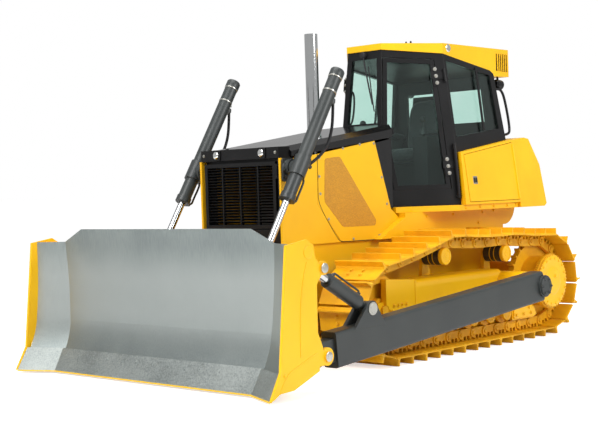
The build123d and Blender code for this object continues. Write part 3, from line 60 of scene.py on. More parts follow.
def chain_path():
    """Points (y, z) of the pitch line: the outer tangents of each pair of wheels, sagging as
    a parabola 4 s t (1 - t), and the arcs between them."""
    y, z, r = np.array(wheels).T
    dy, dz = np.roll(y, -1) - y, np.roll(z, -1) - z
    across = np.arctan2(dz, dy) - np.arccos((r - np.roll(r, -1)) / np.hypot(dy, dz))
    t = np.linspace(0, 1, 60)
    runs = []
    for i in range(len(wheels)):
        k = (i + 1) % len(wheels)
        out = np.array([np.cos(across[i]), np.sin(across[i])])
        leave = np.array([y[i], z[i]]) + r[i] * out
        meet = np.array([y[k], z[k]]) + r[k] * out
        sag = 4 * span_sags[i] * t * (1 - t)
        runs.append(leave + t[:, None] * (meet - leave) - sag[:, None] * out)
        turn = (across[k] - across[i]) % (2 * np.pi)
        a = across[i] + t[1:-1] * turn
        runs.append(np.stack([y[k] + r[k] * np.cos(a), z[k] + r[k] * np.sin(a)], -1))
    return np.concatenate(runs)


def chain_pins():
    """The path's points at equal distances along it, one for each pin."""
    path = chain_path()
    loop = np.concatenate([path, path[:1]])
    run = np.concatenate([[0], np.cumsum(np.hypot(*np.diff(loop, axis=0).T))])
    at = np.linspace(0, run[-1], link_count + 1)
    return np.stack([np.interp(at, run, loop[:, 0]), np.interp(at, run, loop[:, 1])], -1)


def skin(rings, closed=False):
    """Shell over rings of points R[i, j]: face (i, j) joins (i, j), (i + 1, j), (i + 1, j + 1)
    and (i, j + 1), with j closed round the ring. The end rings are filled, or joined if closed.
    A shell is its points, its faces' corners in one row, and each face's number of corners."""
    rings = np.asarray(rings, float)
    n, m = rings.shape[:2]
    i, j = np.meshgrid(np.arange(n if closed else n - 1), np.arange(m), indexing="ij")
    i2, j2 = (i + 1) % n, (j + 1) % m
    corners = np.stack([i * m + j, i2 * m + j, i2 * m + j2, i * m + j2], -1).reshape(-1)
    sizes = np.full(len(corners) // 4, 4)
    if not closed:
        corners = np.concatenate([corners, np.arange(m)[::-1], np.arange(m) + (n - 1) * m])
        sizes = np.concatenate([sizes, [m, m]])
    return rings.reshape(-1, 3), corners, sizes


def plate(outline, x0, x1):
    """Flat plate: the side outline (y, z) carried from x0 to x1."""
    y, z = np.asarray(outline, float).T
    return skin([np.stack([np.full_like(y, x), y, z], -1) for x in (x0, x1)])


def turned(profile, centre, axis=(1, 0, 0), count=32):
    """Turned body: the profile's points (distance along the axis, radius) carried round it."""
    t, r = np.asarray(profile, float).T
    axis = np.asarray(axis, float) / np.linalg.norm(axis)
    first = np.cross(axis, np.eye(3)[np.argmin(np.abs(axis))])
    first /= np.linalg.norm(first)
    a = np.linspace(0, 2 * np.pi, count, endpoint=False)[:, None]
    circle = np.cos(a) * first + np.sin(a) * np.cross(axis, first)
    return skin(np.asarray(centre) + t[:, None, None] * axis + r[:, None, None] * circle)


def joined(*shells):
    """Several shells as one, each one's corners counted on from the last."""
    starts = np.cumsum([0] + [len(s[0]) for s in shells[:-1]])
    corners = np.concatenate([s[1] + start for s, start in zip(shells, starts)])
    return np.concatenate([s[0] for s in shells]), corners, np.concatenate([s[2] for s in shells])


def copies(shell, turns, moves):
    """The shell at each place: every point p becomes R p + m, for all R and m at once."""
    points, corners, sizes = shell
    turns, moves = np.asarray(turns, float), np.asarray(moves, float)
    k = len(moves)
    if turns.ndim == 2:
        turns = np.broadcast_to(turns, (k, 3, 3))
    moved = np.einsum("kij,nj->kni", turns, points) + moves[:, None]
    corners = corners[None] + len(points) * np.arange(k)[:, None]
    return moved.reshape(-1, 3), corners.ravel(), np.tile(sizes, k)


def piece(name, shells, material, body, bevel=0.0, replaces=(), smooth=38):
    """One object from closed shells, with its normals outwards, its edges kept sharp where
    faces meet at more than `smooth` degrees, and those edges bevelled if a width is given."""
    points, corners, sizes = joined(*shells)
    mesh = bpy.data.meshes.new(name)
    mesh.vertices.add(len(points))
    mesh.vertices.foreach_set("co", points.astype(np.float32).ravel())
    mesh.loops.add(len(corners))
    mesh.loops.foreach_set("vertex_index", corners.astype(np.int32))
    mesh.polygons.add(len(sizes))
    mesh.polygons.foreach_set("loop_start", (np.cumsum(sizes) - sizes).astype(np.int32))
    mesh.update(calc_edges=True)
    work = bmesh.new()
    work.from_mesh(mesh)
    bmesh.ops.recalc_face_normals(work, faces=work.faces)
    work.to_mesh(mesh)
    work.free()
    mesh.polygons.foreach_set("use_smooth", np.ones(len(mesh.polygons), bool))
    mesh.set_sharp_from_angle(angle=math.radians(smooth))
    made = bpy.data.objects.new(name, mesh)
    bpy.context.scene.collection.objects.link(made)
    mesh.materials.append(material)
    if bevel:
        edge = made.modifiers.new("rounded_edges", "BEVEL")
        edge.width = bevel
        edge.segments = 2
        edge.limit_method = "ANGLE"
        edge.angle_limit = math.radians(40)
        edge.harden_normals = True
    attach(made, body)
    if replaces:
        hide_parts(*replaces)
    return made


def linear(hex_colour):
    """Linear colour of an sRGB hex value: c / 12.92 up to 0.04045, and above that
    ((c + 0.055) / 1.055) ** 2.4."""
    c = np.array([int(hex_colour[i:i + 2], 16) for i in (1, 3, 5)]) / 255
    shades = np.where(c > 0.04045, ((c + 0.055) / 1.055) ** 2.4, c / 12.92)
    return (*shades.tolist(), 1.0)


def add(tree, kind, inputs=None, **settings):
    """Adds a node: settings are its properties, and inputs its sockets, each a value or the
    output that feeds it."""
    made = tree.nodes.new(kind)
    for name, value in settings.items():
        setattr(made, name, value)
    for name, value in (inputs or {}).items():
        if isinstance(value, bpy.types.NodeSocket):
            tree.links.new(value, made.inputs[name])
        else:
            made.inputs[name].default_value = value
    return made


def blank(name):
    """A new material, its empty node tree, and the output that gives the point on the object."""
    material = bpy.data.materials.new(name)
    material.use_nodes = True
    tree = material.node_tree
    tree.nodes.clear()
    return material, tree, add(tree, "ShaderNodeTexCoord").outputs["Object"]


def painted_steel(name, tone, second_tone, roughness, gloss, patch=0.5, grain=0.003, lumps=0.12):
    """Enamel sprayed on steel: two tones in soft patches `patch` metres across (on the forgings a
    browner second tone, which is painted shade), a fine orange peel of `grain` metres, and edges that catch
    the light as if rounded by 4 mm."""
    material, tree, place = blank(name)
    clouds = add(tree, "ShaderNodeTexNoise", {"Vector": place, "Scale": 1 / patch, "Detail": 4.0})
    share = add(tree, "ShaderNodeMapRange", {0: clouds.outputs[0], 1: 0.35, 2: 0.75, 3: 0.0, 4: 1.0})
    colour = add(
        tree, "ShaderNodeMix", {0: share.outputs[0], 6: linear(tone), 7: linear(second_tone)},
        data_type="RGBA",
    )
    peel = add(tree, "ShaderNodeTexNoise", {"Vector": place, "Scale": 1 / grain, "Detail": 2.0})
    edges = add(tree, "ShaderNodeBevel", {"Radius": 0.004}, samples=4)
    bump = add(
        tree, "ShaderNodeBump",
        {"Strength": lumps, "Distance": 0.001, "Height": peel.outputs[0], "Normal": edges.outputs[0]},
    )
    rough = add(
        tree, "ShaderNodeMapRange",
        {0: clouds.outputs[0], 1: 0.2, 2: 0.8, 3: roughness * 0.85, 4: roughness * 1.2},
    )
    shader = add(
        tree, "ShaderNodeBsdfPrincipled",
        {
            "Base Color": colour.outputs[2],
            "Roughness": rough.outputs[0],
            "Normal": bump.outputs[0],
            "Specular IOR Level": gloss,
        },
    )
    add(tree, "ShaderNodeOutputMaterial", {"Surface": shader.outputs[0]})
    return material


# Two-pack yellow enamel over primer: a warm, even, half-gloss coat
yellow = painted_steel("yellow_enamel", "#F6BE0E", "#EFB30A", 0.36, 0.4)
# The same enamel on rough forgings, where it dries duller; its darker, browner tones are painted shade, a
# shaded copy of the yellow for the running gear
shaded_forging_yellow = painted_steel(
    "yellow_enamel_on_forgings_painted_shade", "#EDB20E", "#CF930C", 0.5, 0.4, 0.25, 0.006, 0.3,
)


def hexagon_bolt(across, height):
    """A bolt standing along +X: a washer and a six-sided head with a turned top."""
    r = across / 2
    washer = turned([(0, r * 1.5), (0.003, r * 1.5)], (0, 0, 0), count=14)
    head = turned([(0.0, r), (0.003 + height * 0.8, r), (0.003 + height, r * 0.82)], (0, 0, 0), count=6)
    return joined(washer, head)


pins = chain_pins()
steps = pins[1:] - pins[:-1]
pitch = np.hypot(*steps.T).mean()
rail_in, rail_out = 0.045, 0.095
boss_r, bushing_r, shoe_face = 0.045, 0.031, 0.072
pin_end = ((0, 0.021), (0.008, 0.021), (0.010, 0.015))
# side outline of a link, with open pockets for the shoe bolts and a waisted rail edge
link_outline = (
    (-0.028, -0.034), (-0.006, -0.049), (0.07, -0.05), (0.14, -0.05), (pitch - 0.004, -0.049),
    (pitch - 0.004, 0.02), (pitch - 0.022, 0.06), (0.150, 0.06), (0.150, 0.03), (0.140, 0.022),
    (0.120, 0.022), (0.110, 0.03), (0.110, 0.06), (0.092, 0.06), (0.092, 0.03), (0.082, 0.022),
    (0.062, 0.022), (0.052, 0.03), (0.052, 0.06), (0.03, 0.06), (0.01, 0.03), (-0.028, 0.03),
)
# side outline of a shoe: plate with a turned-down front lip, the bar and a trailing lip
shoe_outline = (
    (-0.016, 0.052), (-0.010, 0.060), (0.196, 0.060), (0.206, 0.066), (0.206, 0.078),
    (0.196, 0.072), (0.034, 0.072), (0.020, 0.086), (0.017, 0.138), (0.001, 0.138),
    (-0.003, 0.084), (-0.018, 0.070),
)


def link_shells():
    """One link in its own frame: x across the track, y along the chain and z outwards."""
    shells = []
    for s in (1, -1):
        shells.append(plate(link_outline, s * rail_in, s * (rail_out - 0.004)))
        pin_boss = (0, rail_in + 0.012, rail_out + 0.008)
        bushing_boss = (pitch, rail_in - 0.006, rail_out - 0.014)
        for y, near, far in (pin_boss, bushing_boss):
            boss = [(min(s * near, s * far), boss_r), (max(s * near, s * far), boss_r)]
            shells.append(turned(boss, (0, y, 0), count=20))
        shells.append(turned(pin_end, (s * (rail_out + 0.008), 0, 0), (s, 0, 0), 16))
    shells.append(turned([(-rail_in, bushing_r), (rail_in, bushing_r)], (0, 0, 0), count=16))
    # the shoe is drawn in by a few percent over its last 18 mm, which clips its corners
    y, z = np.array(shoe_outline).T
    xs = np.array([-shoe_half, -shoe_half + 0.018, shoe_half - 0.018, shoe_half])
    clip = np.array([0.93, 1, 1, 0.93])
    shoe_middle = 0.095
    rings = np.empty((4, len(y), 3))
    rings[:, :, 0] = xs[:, None]
    rings[:, :, 1] = shoe_middle + (y - shoe_middle) * clip[:, None]
    rings[:, :, 2] = z
    shells.append(skin(rings))
    bolt = hexagon_bolt(0.030, 0.014)
    outward = np.array([[0, 0, 1], [0, 1, 0], [1, 0, 0]])
    at = [(x, y, shoe_face) for x in (-0.07, 0.07) for y in (0.072, 0.130)]
    shells.append(copies(bolt, outward, at))
    return joined(*shells)


along = steps / np.hypot(*steps.T)[:, None]
link_turns = np.zeros((link_count, 3, 3))
link_turns[:, 0, 0] = 1
link_turns[:, 1:, 1] = along
link_turns[:, 1:, 2] = np.stack([along[:, 1], -along[:, 0]], -1)
for side, s in sides:
    moves = np.column_stack([np.full(link_count, s * track_x), pins[:-1]])
    chain = copies(link_shells(), link_turns, moves)
    name = f"track_chain_{side}"
    # the chain takes the shaded copy of the enamel, whose browner patches are painted shade
    piece(name, [chain], shaded_forging_yellow, "hull", 0.002, [f"track_{side}"])

# ---------------------------------------------------------------- running gear
# Cast idlers, forged rollers and welded track frames, all in the yellow enamel. The
# carrier rollers turn on steel shafts with bright enamelled caps, and their treads are
# bare dark steel where the links run.


def coat(material, *names):
    """Gives each of these CAD nodes this one material."""
    for name in names:
        nodes[name].data.materials.clear()
        nodes[name].data.materials.append(material)


def bolts_on(s, across, height, places):
    """Hexagon bolts at these places, standing outwards from side s."""
    return copies(hexagon_bolt(across, height), np.diag([s, 1.0, s]), places)


def bolt_circle(s, across, height, count, radius, centre):
    """`count` bolts evenly round `centre` on side s, at centre + radius (cos a, sin a)."""
    a = np.linspace(0, 2 * np.pi, count, endpoint=False)
    x, y, z = centre
    ring = np.column_stack([np.full(count, x), y + radius * np.cos(a), z + radius * np.sin(a)])
    return bolts_on(s, across, height, ring)


# Rolled steel that the links keep bare: near black with oil, a little brown
dark_tread = painted_steel("dark_oiled_steel", "#2A2622", "#3A332A", 0.45, 0.5, 0.08, 0.004, 0.2)
coat(shaded_forging_yellow, "idlers", "track_rollers", "final_drives")
coat(yellow, "track_frames")
coat(dark_tread, "carrier_rollers")
carriers = wheels[:1:-1]
carrier_half = 0.095
cap_profile = (
    (0.0, 0.083), (0.034, 0.084), (0.040, 0.080), (0.040, 0.066), (0.033, 0.060), (0.033, 0.030),
    (0.037, 0.026), (0.037, 0.010), (0.034, 0.006), (0.034, 0.001),
)
rib_profile = ((0.0, 0.0865), (0.008, 0.0865))
caps = []
for side, s in sides:
    for y, z, _ in carriers:
        caps.append(turned(cap_profile, (s * (track_x + carrier_half - 0.002), y, z), (s, 0, 0), 40))
        for x in (track_x - 0.03, track_x + 0.022):
            caps.append(turned(rib_profile, (s * x, y, z), (s, 0, 0), 32))
piece("carrier_caps", caps, yellow, "hull")

# Cast end collars of the track rollers, each held up by two bolts through the frame's skirt
roller_ys = -0.067 + 0.29 * np.arange(6)
roller_z, skirt_x, bolt_z = 0.288, 1.089, 0.40
end_profile = (
    (0.0, 0.075), (0.022, 0.075), (0.028, 0.068), (0.028, 0.045), (0.022, 0.04), (0.022, 0.001),
)
frame_bolt = (0.030, 0.014)
ends = []
for side, s in sides:
    for y in roller_ys:
        ends.append(turned(end_profile, (s * 1.085, y, roller_z), (s, 0, 0), 28))
    at = [(s * skirt_x, y + dy, bolt_z) for y in roller_ys for dy in (-0.035, 0.035)]
    ends.append(bolts_on(s, *frame_bolt, at))
piece("roller_ends", ends, shaded_forging_yellow, "hull")

# Guard plates beside the sprocket with their bolts, and the bead round the joint between
# the recoil housing and the frame, with the housing's row of bolts
guard_outline = (
    (1.52, 0.215), (1.88, 0.215), (1.94, 0.235), (1.9, 0.31), (1.63, 0.425), (1.52, 0.425),
)
guard_bolts = (
    (1.56, 0.25), (1.56, 0.33), (1.56, 0.4), (1.7, 0.25), (1.84, 0.25), (1.8, 0.31), (1.68, 0.36),
)
bead_outline = ((-0.136, 0.45), (-0.122, 0.45), (-0.122, 0.742), (-0.136, 0.742))
guard_plate = 0.012
guards = []
for side, s in sides:
    face = s * (skirt_x + guard_plate)
    guards.append(plate(guard_outline, s * skirt_x, face))
    guards.append(bolts_on(s, *frame_bolt, [(face, y, z) for y, z in guard_bolts]))
    guards.append(plate(bead_outline, s * 1.098, s * 1.106))
    guards.append(bolts_on(s, *frame_bolt, [(s * 1.1, -0.45 + 0.06 * i, 0.53) for i in range(4)]))
piece("guard_plates", guards, yellow, "hull", 0.002)

# Hub covers of the final drives: dished discs on a notched ring, with a ring of bolts, a
# level plug and a drain plug
hub_y, hub_z = wheels[1][:2]
hub_profile = (
    (0.0, 0.262), (0.004, 0.262), (0.006, 0.255), (0.006, 0.215), (0.002, 0.205), (0.002, 0.150),
    (0.010, 0.140), (0.012, 0.120), (0.012, 0.001),
)
notches, notch_r, notch_depth = 48, 0.268, 0.012
a = np.linspace(0, 2 * np.pi, 4 * notches, endpoint=False)
r = notch_r + notch_depth * np.clip(3 * np.sin(notches * a), -1, 1)
notched_ring = np.stack([hub_y + r * np.cos(a), hub_z + r * np.sin(a)], -1)
hubs = []
for side, s in sides:
    hubs.append(turned(hub_profile, (s * 1.2145, hub_y, hub_z), (s, 0, 0), 64))
    hubs.append(plate(notched_ring, s * 1.2135, s * 1.2175))
    hubs.append(bolt_circle(s, 0.02, 0.008, 18, 0.238, (s * 1.2205, hub_y, hub_z)))
    plugs = [(s * 1.226, hub_y + 0.03, hub_z + 0.05), (s * 1.226, hub_y - 0.06, hub_z - 0.02)]
    hubs.append(bolts_on(s, *frame_bolt, plugs))
piece("hub_covers", hubs, yellow, "hull")

# ------------------------------------------------------- push beams, links, pins
# Box-section push beams with a cast boss at the trunnion and a pinned nose, and the tilt
# cylinder and brace above them. Satin charcoal paint on rolled plate, with pale plated pins.

# Charcoal chassis enamel: half matt, slightly uneven where dust has rubbed in
charcoal = painted_steel("charcoal_enamel", "#2E3232", "#383C3B", 0.40, 0.45, 0.4, 0.003, 0.15)
coat(charcoal, "push_beam_left", "push_beam_right", "link_barrel_left", "link_barrel_right")


def plated_steel(name, tone, second_tone, roughness, grain, stretch=(1, 1, 1), bands=None, lip=None):
    """Bare or plated metal: two tones along a fine grain `grain` metres wide that is drawn out
    by `stretch`, which also ripples the roughness and the surface. bands are (z, z, tone) for
    a middle belt painted brighter as a sheen, and lip is (z, tone) for enamel left below that height."""
    material, tree, place = blank(name)
    drawn = add(tree, "ShaderNodeMapping", {"Vector": place, "Scale": stretch})
    lines = add(
        tree, "ShaderNodeTexNoise",
        {"Vector": drawn.outputs[0], "Scale": 1 / grain, "Detail": 3.0},
    )
    clouds = add(tree, "ShaderNodeTexNoise", {"Vector": place, "Scale": 2.2, "Detail": 3.0})
    mixed = add(
        tree, "ShaderNodeMix", {0: 0.45, 2: lines.outputs[0], 3: clouds.outputs[0]}, data_type="FLOAT",
    )
    share = add(tree, "ShaderNodeMapRange", {0: mixed.outputs[0], 1: 0.35, 2: 0.65, 3: 0.0, 4: 1.0})
    colour = add(
        tree, "ShaderNodeMix", {0: share.outputs[0], 6: linear(tone), 7: linear(second_tone)},
        data_type="RGBA",
    ).outputs[2]
    # painted sheen: between the two heights the colour is blended towards the bright tone, so the top and
    # the foot stay darker
    if bands:
        low, high, bright = bands
        height = add(tree, "ShaderNodeSeparateXYZ", {0: place}).outputs[2]
        rise = add(
            tree, "ShaderNodeMapRange", {0: height, 1: low - 0.25, 2: low + 0.15, 3: 0.0, 4: 1.0},
            interpolation_type="SMOOTHSTEP",
        )
        fall = add(
            tree, "ShaderNodeMapRange", {0: height, 1: high - 0.1, 2: high + 0.25, 3: 1.0, 4: 0.0},
            interpolation_type="SMOOTHSTEP",
        )
        belt = add(tree, "ShaderNodeMath", {0: rise.outputs[0], 1: fall.outputs[0]}, operation="MULTIPLY")
        eased = add(tree, "ShaderNodeMath", {0: belt.outputs[0], 1: 0.6}, operation="MULTIPLY")
        colour = add(
            tree, "ShaderNodeMix", {0: eased.outputs[0], 6: colour, 7: linear(bright)}, data_type="RGBA",
        ).outputs[2]
    metal = 1.0
    if lip:
        height = add(tree, "ShaderNodeSeparateXYZ", {0: place}).outputs[2]
        ragged = add(
            tree, "ShaderNodeMath", {0: lines.outputs[0], 1: 0.012, 2: height},
            operation="MULTIPLY_ADD",
        )
        lip_z, enamel = lip
        bare = add(
            tree, "ShaderNodeMapRange",
            {0: ragged.outputs[0], 1: lip_z, 2: lip_z + 0.002, 3: 0.0, 4: 1.0},
        )
        colour = add(
            tree, "ShaderNodeMix", {0: bare.outputs[0], 6: linear(enamel), 7: colour},
            data_type="RGBA",
        ).outputs[2]
        metal = bare.outputs[0]
    rough = add(
        tree, "ShaderNodeMapRange",
        {0: lines.outputs[0], 1: 0.3, 2: 0.7, 3: roughness * 0.8, 4: roughness * 1.2},
    )
    bump = add(tree, "ShaderNodeBump", {"Strength": 0.15, "Distance": 0.001, "Height": lines.outputs[0]})
    shader = add(
        tree, "ShaderNodeBsdfPrincipled",
        {
            "Base Color": colour,
            "Metallic": metal,
            "Roughness": rough.outputs[0],
            "Normal": bump.outputs[0],
        },
    )
    add(tree, "ShaderNodeOutputMaterial", {"Surface": shader.outputs[0]})
    return material


# Hard chrome on the rods: a near mirror with a faint haze
chrome = plated_steel("hard_chrome", "#D9DADA", "#C3C6C7", 0.1, 0.004)
# Zinc-plated pins and washers: pale, soft and slightly mottled
zinc = plated_steel("zinc_plate", "#C9C7BE", "#AFAFA9", 0.35, 0.006)
coat(chrome, "link_rod_left", "link_rod_right", "lift_rod_left", "lift_rod_right")

# Washers on the tilt links' lower pins, and bolted caps over the trunnions
link_x, bracket_y, bracket_z = 1.49, -1.327, 0.605
trunnion_y, trunnion_z = 1.353, 0.578
washer_profile = (
    (0.0, 0.055), (0.006, 0.055), (0.009, 0.052), (0.009, 0.036), (0.012, 0.034), (0.012, 0.001),
)
cap_profile = (
    (0.0, 0.092), (0.010, 0.092), (0.016, 0.086), (0.016, 0.060), (0.010, 0.054), (0.010, 0.001),
)
for side, s in sides:
    body = f"beam_{side}"
    washer = turned(washer_profile, (s * 1.566, bracket_y, bracket_z), (s, 0, 0), 32)
    piece(f"bracket_washer_{side}", [washer], zinc, body)
    cap = turned(cap_profile, (s * 1.583, trunnion_y, trunnion_z), (s, 0, 0), 40)
    bolts = bolt_circle(s, 0.020, 0.010, 6, 0.074, (s * 1.599, trunnion_y, trunnion_z))
    piece(f"trunnion_cap_{side}", [cap, bolts], charcoal, body)


def bent(points, radius, count=12, steps=10):
    """Tube along the quadratic B-spline of these points, which starts and ends on the first and
    last of them: each inner point pulls the arc between the middles of its two legs."""
    p = np.asarray(points, float)
    mids = (p[1:] + p[:-1]) / 2
    mids[0], mids[-1] = p[0], p[-1]
    t = np.linspace(0, 1, steps, endpoint=False)[:, None]
    arcs = [
        (1 - t) ** 2 * a + 2 * t * (1 - t) * b + t ** 2 * c
        for a, b, c in zip(mids[:-1], p[1:-1], mids[1:])
    ]
    line = np.concatenate(arcs + [p[-1:]])
    ahead = np.gradient(line, axis=0)
    ahead /= np.linalg.norm(ahead, axis=1)[:, None]
    side_way = np.cross(ahead[0], np.eye(3)[np.argmin(np.abs(ahead[0]))])
    ways = []
    for way in ahead:
        side_way = side_way - way * (side_way @ way)
        side_way /= np.linalg.norm(side_way)
        ways.append(side_way)
    ways = np.array(ways)
    a = np.linspace(0, 2 * np.pi, count, endpoint=False)[:, None]
    circle = np.cos(a) * ways[:, None] + np.sin(a) * np.cross(ahead, ways)[:, None]
    return skin(line[:, None] + radius * circle)


# Steel supply pipe along the tilt cylinder, with its two unions. Its points are (distance
# along the cylinder from the bracket pin, height off the cylinder's axis).
tilt_foot = np.array((link_x, bracket_y, bracket_z))
tilt_way = np.array((link_x, -2.008, 0.989)) - tilt_foot
tilt_way /= np.linalg.norm(tilt_way)
tilt_up = np.array((0, tilt_way[2], -tilt_way[1]))
ports = (0.14, 0.50)
pipe_run = ((0.14, 0.062), (0.14, 0.088), (0.17, 0.09), (0.46, 0.09), (0.50, 0.088), (0.50, 0.058))
union = ((0.055, 0.017), (0.078, 0.017), (0.08, 0.012))
shells = [bent([tilt_foot + tilt_way * t + tilt_up * h for t, h in pipe_run], 0.009)]
for t in ports:
    shells.append(turned(union, tilt_foot + tilt_way * t, tilt_up, 6))
piece("tilt_pipe", shells, charcoal, "tilt_barrel")

# ------------------------------------------------------------------------ blade
# Semi-U moldboard of rolled abrasion-resistant plate, bare steel with a painted sheen across
# its middle, and a bolted cutting edge. Its back frame and end plates are welded plate in the yellow enamel.
# Bare plate in grey tones along a vertical grain; the belt from 0.45 to 0.95 m is painted brighter, a
# painted sheen
sheened_blade = plated_steel(
    "blade_plate_painted_sheen", "#8E9796", "#A3ABA9", 0.42, 0.006, (1, 1, 0.06), (0.45, 0.95, "#C3C9C6"),
)
edge_steel = plated_steel(
    "cutting_edge_steel", "#8B9290", "#B4BAB7", 0.5, 0.014, lip=(0.034, "#E2B21C"),
)
coat(sheened_blade, "moldboard")
coat(edge_steel, "cutting_edge")
coat(yellow, "blade_frame", "end_plates")

# Plough bolts flush in the edge
edge_lip = np.array((0, -2.482, 0.017))
edge_way, edge_up = np.array((0, -0.866, 0.5)), np.array((0, 0.5, 0.866))
edge_turn = np.column_stack([edge_way, (1, 0, 0), edge_up])
plough = turned([(-0.004, 0.017), (0.0015, 0.017), (0.002, 0.014), (0.0008, 0.006)], (0, 0, 0), count=16)
at = [edge_lip + (x, 0, 0) + edge_up * 0.165 for x in np.arange(-1.2, 1.21, 0.2)]
piece("edge_bolts", [copies(plough, edge_turn, at)], edge_steel, "blade")

# Weld beads and the filled lifting eyes of the end plates
cheek_x = 1.638
foot_seam = ((-2.115, 0.336), (-2.3, 0.269), (-2.483, 0.203), (-2.541, 0.073))
rear_seam = ((-2.20, 1.05), (-2.26, 0.9), (-2.30, 0.6), (-2.30, 0.32))
eye_profile = ((-0.002, 0.052), (0.003, 0.052), (0.005, 0.047), (0.004, 0.001))
beads = []
for side, s in sides:
    x = s * cheek_x
    for line in (foot_seam, rear_seam):
        beads.append(bent([(x, y, z) for y, z in line], 0.004, 8))
    beads.append(turned(eye_profile, (x, -2.18, 1.12), (s, 0, 0), 36))
    beads.append(bolts_on(s, 0.024, 0.006, [(x, *foot_seam[2])]))
piece("end_plate_beads", beads, yellow, "blade")

# Plated discs that hold the pins of the tilt links and of the push beams' noses
pin_places = ((-2.008, 0.989), (-1.987, 0.292))
disc_profile = (
    (-0.004, 0.040), (0.003, 0.040), (0.005, 0.037), (0.005, 0.018), (0.008, 0.016), (0.008, 0.001),
)
discs = [
    turned(disc_profile, (s * 1.6525, y, z), (s, 0, 0), 28) for side, s in sides for y, z in pin_places
]
piece("pin_discs", discs, zinc, "blade")

# ------------------------------------------------------------- hull and shields
# Welded main frame with cast axle housings, sheet-steel engine shields and platform, all
# in the yellow enamel. The castings in the gaps are painted a dull dark grey.
cast_grey = painted_steel("casting_grey_paint", "#3C3A37", "#4A4742", 0.6, 0.35, 0.2, 0.006, 0.4)
coat(yellow, "main_frame", "engine_shields", "platform", "upper_frame", "nose_plates", "drawbar")
coat(cast_grey, "engine", "cross_shafts")
coat(charcoal, "lift_yokes")


def perforated(name, tone, dust_tone, hole_tone, hole_step):
    """Dusty painted sheet punched with uneven rows of round holes `hole_step` metres apart: a dark
    dot where the nearest hole's centre is nearer than about a third of the step."""
    material, tree, place = blank(name)
    flat = add(tree, "ShaderNodeMapping", {"Vector": place, "Scale": (0.0, 1.0, 1.0)})
    dots = add(
        tree, "ShaderNodeTexVoronoi",
        {"Vector": flat.outputs[0], "Scale": 1 / hole_step, "Randomness": 0.35},
    )
    hole = add(tree, "ShaderNodeMapRange", {0: dots.outputs[0], 1: 0.34, 2: 0.42, 3: 1.0, 4: 0.0})
    clouds = add(tree, "ShaderNodeTexNoise", {"Vector": place, "Scale": 9.0, "Detail": 4.0})
    dust = add(
        tree, "ShaderNodeMix", {0: clouds.outputs[0], 6: linear(tone), 7: linear(dust_tone)},
        data_type="RGBA",
    )
    colour = add(
        tree, "ShaderNodeMix", {0: hole.outputs[0], 6: dust.outputs[2], 7: linear(hole_tone)},
        data_type="RGBA",
    )
    bump = add(
        tree, "ShaderNodeBump", {"Strength": 0.6, "Distance": 0.002, "Height": hole.outputs[0]},
        invert=True,
    )
    shader = add(
        tree, "ShaderNodeBsdfPrincipled",
        {"Base Color": colour.outputs[2], "Roughness": 0.55, "Normal": bump.outputs[0]},
    )
    add(tree, "ShaderNodeOutputMaterial", {"Surface": shader.outputs[0]})
    return material


# Air intake panels: sheet punched with small holes, drawn 11 mm apart so that they show
punched = perforated("punched_yellow_sheet", "#DDA01E", "#C98F22", "#A87414", 0.011)
# Black rubber of edge seals and hoses
rubber = painted_steel("black_rubber", "#17171A", "#202022", 0.6, 0.35, 0.2, 0.002, 0.2)
panel_outline = (
    (-0.680, 1.868), (-0.664, 1.886), (-0.480, 1.902), (-0.455, 1.892), (0.045, 1.292),
    (0.042, 1.258), (0.020, 1.238), (-0.430, 1.243), (-0.460, 1.255), (-0.692, 1.480), (-0.698, 1.51),
)
seam = (
    (-0.776, 1.925), (-0.783, 1.60), (-0.783, 1.52), (-0.765, 1.46), (-0.695, 1.35), (-0.53, 1.14),
    (-0.49, 1.112), (-0.42, 1.106), (-0.20, 1.104), (0.01, 1.103),
)
shield_bolts = (
    (-0.752, 1.892), (-0.753, 1.561), (-0.647, 1.325), (-0.416, 1.979), (-0.167, 2.017),
    (0.044, 2.027), (0.15, 1.70), (0.22, 1.44), (-0.30, 1.125), (-0.76, 1.72),
)
latch_outline = ((0.07, 1.13), (0.16, 1.145), (0.165, 1.165), (0.075, 1.15))
shield_x = 0.520
panels, seams, bolts = [], [], []
for side, s in sides:
    panels.append(plate(panel_outline, s * 0.5195, s * 0.5225))
    seams.append(bent([(s * 0.5202, y, z) for y, z in seam], 0.0028, 8))
    bolts.append(bolts_on(s, 0.019, 0.007, [(s * shield_x, y, z) for y, z in shield_bolts]))
    # pull latch at the shield's lower rear corner
    bolts.append(plate(latch_outline, s * shield_x, s * 0.531))
piece("intake_panels", panels, punched, "hull", 0.0015)
piece("shield_seams", seams, rubber, "hull")
piece("shield_bolts", bolts, zinc, "hull", 0.0015)

# Bolts along the platform's edge and on the frame under it
edge_ys = (1.05, 1.30, 1.55, 1.80, 1.97)
under_bolts = ((1.21, 1.30), (1.74, 1.308), (1.95, 1.316), (0.75, 1.30), (1.66, 1.20))
edge_x, edge_z, under_x = 0.871, 1.372, 0.601
sheet_bolt = (0.022, 0.008)
bolts = []
for side, s in sides:
    bolts.append(bolts_on(s, *sheet_bolt, [(s * edge_x, y, edge_z) for y in edge_ys]))
    bolts.append(bolts_on(s, *sheet_bolt, [(s * under_x, y, z) for y, z in under_bolts]))
piece("platform_bolts", bolts, yellow, "hull")

# --------------------------------------------------- hood, nose, grille and stack
# Pressed steel hood and nose bar in gloss black, a slatted swing-out grille in satin black
# and a chromed exhaust stack.
gloss_black = painted_steel("gloss_black_enamel", "#0B0B0C", "#111112", 0.14, 0.6, 0.6, 0.004, 0.05)
satin_black = painted_steel("satin_black_enamel", "#0D0D0E", "#131314", 0.36, 0.3, 0.4, 0.003, 0.12)
coat(gloss_black, "hood", "cowl")
coat(satin_black, "nose_bar", "grille", "grille_frame")
coat(chrome, "exhaust_stack")

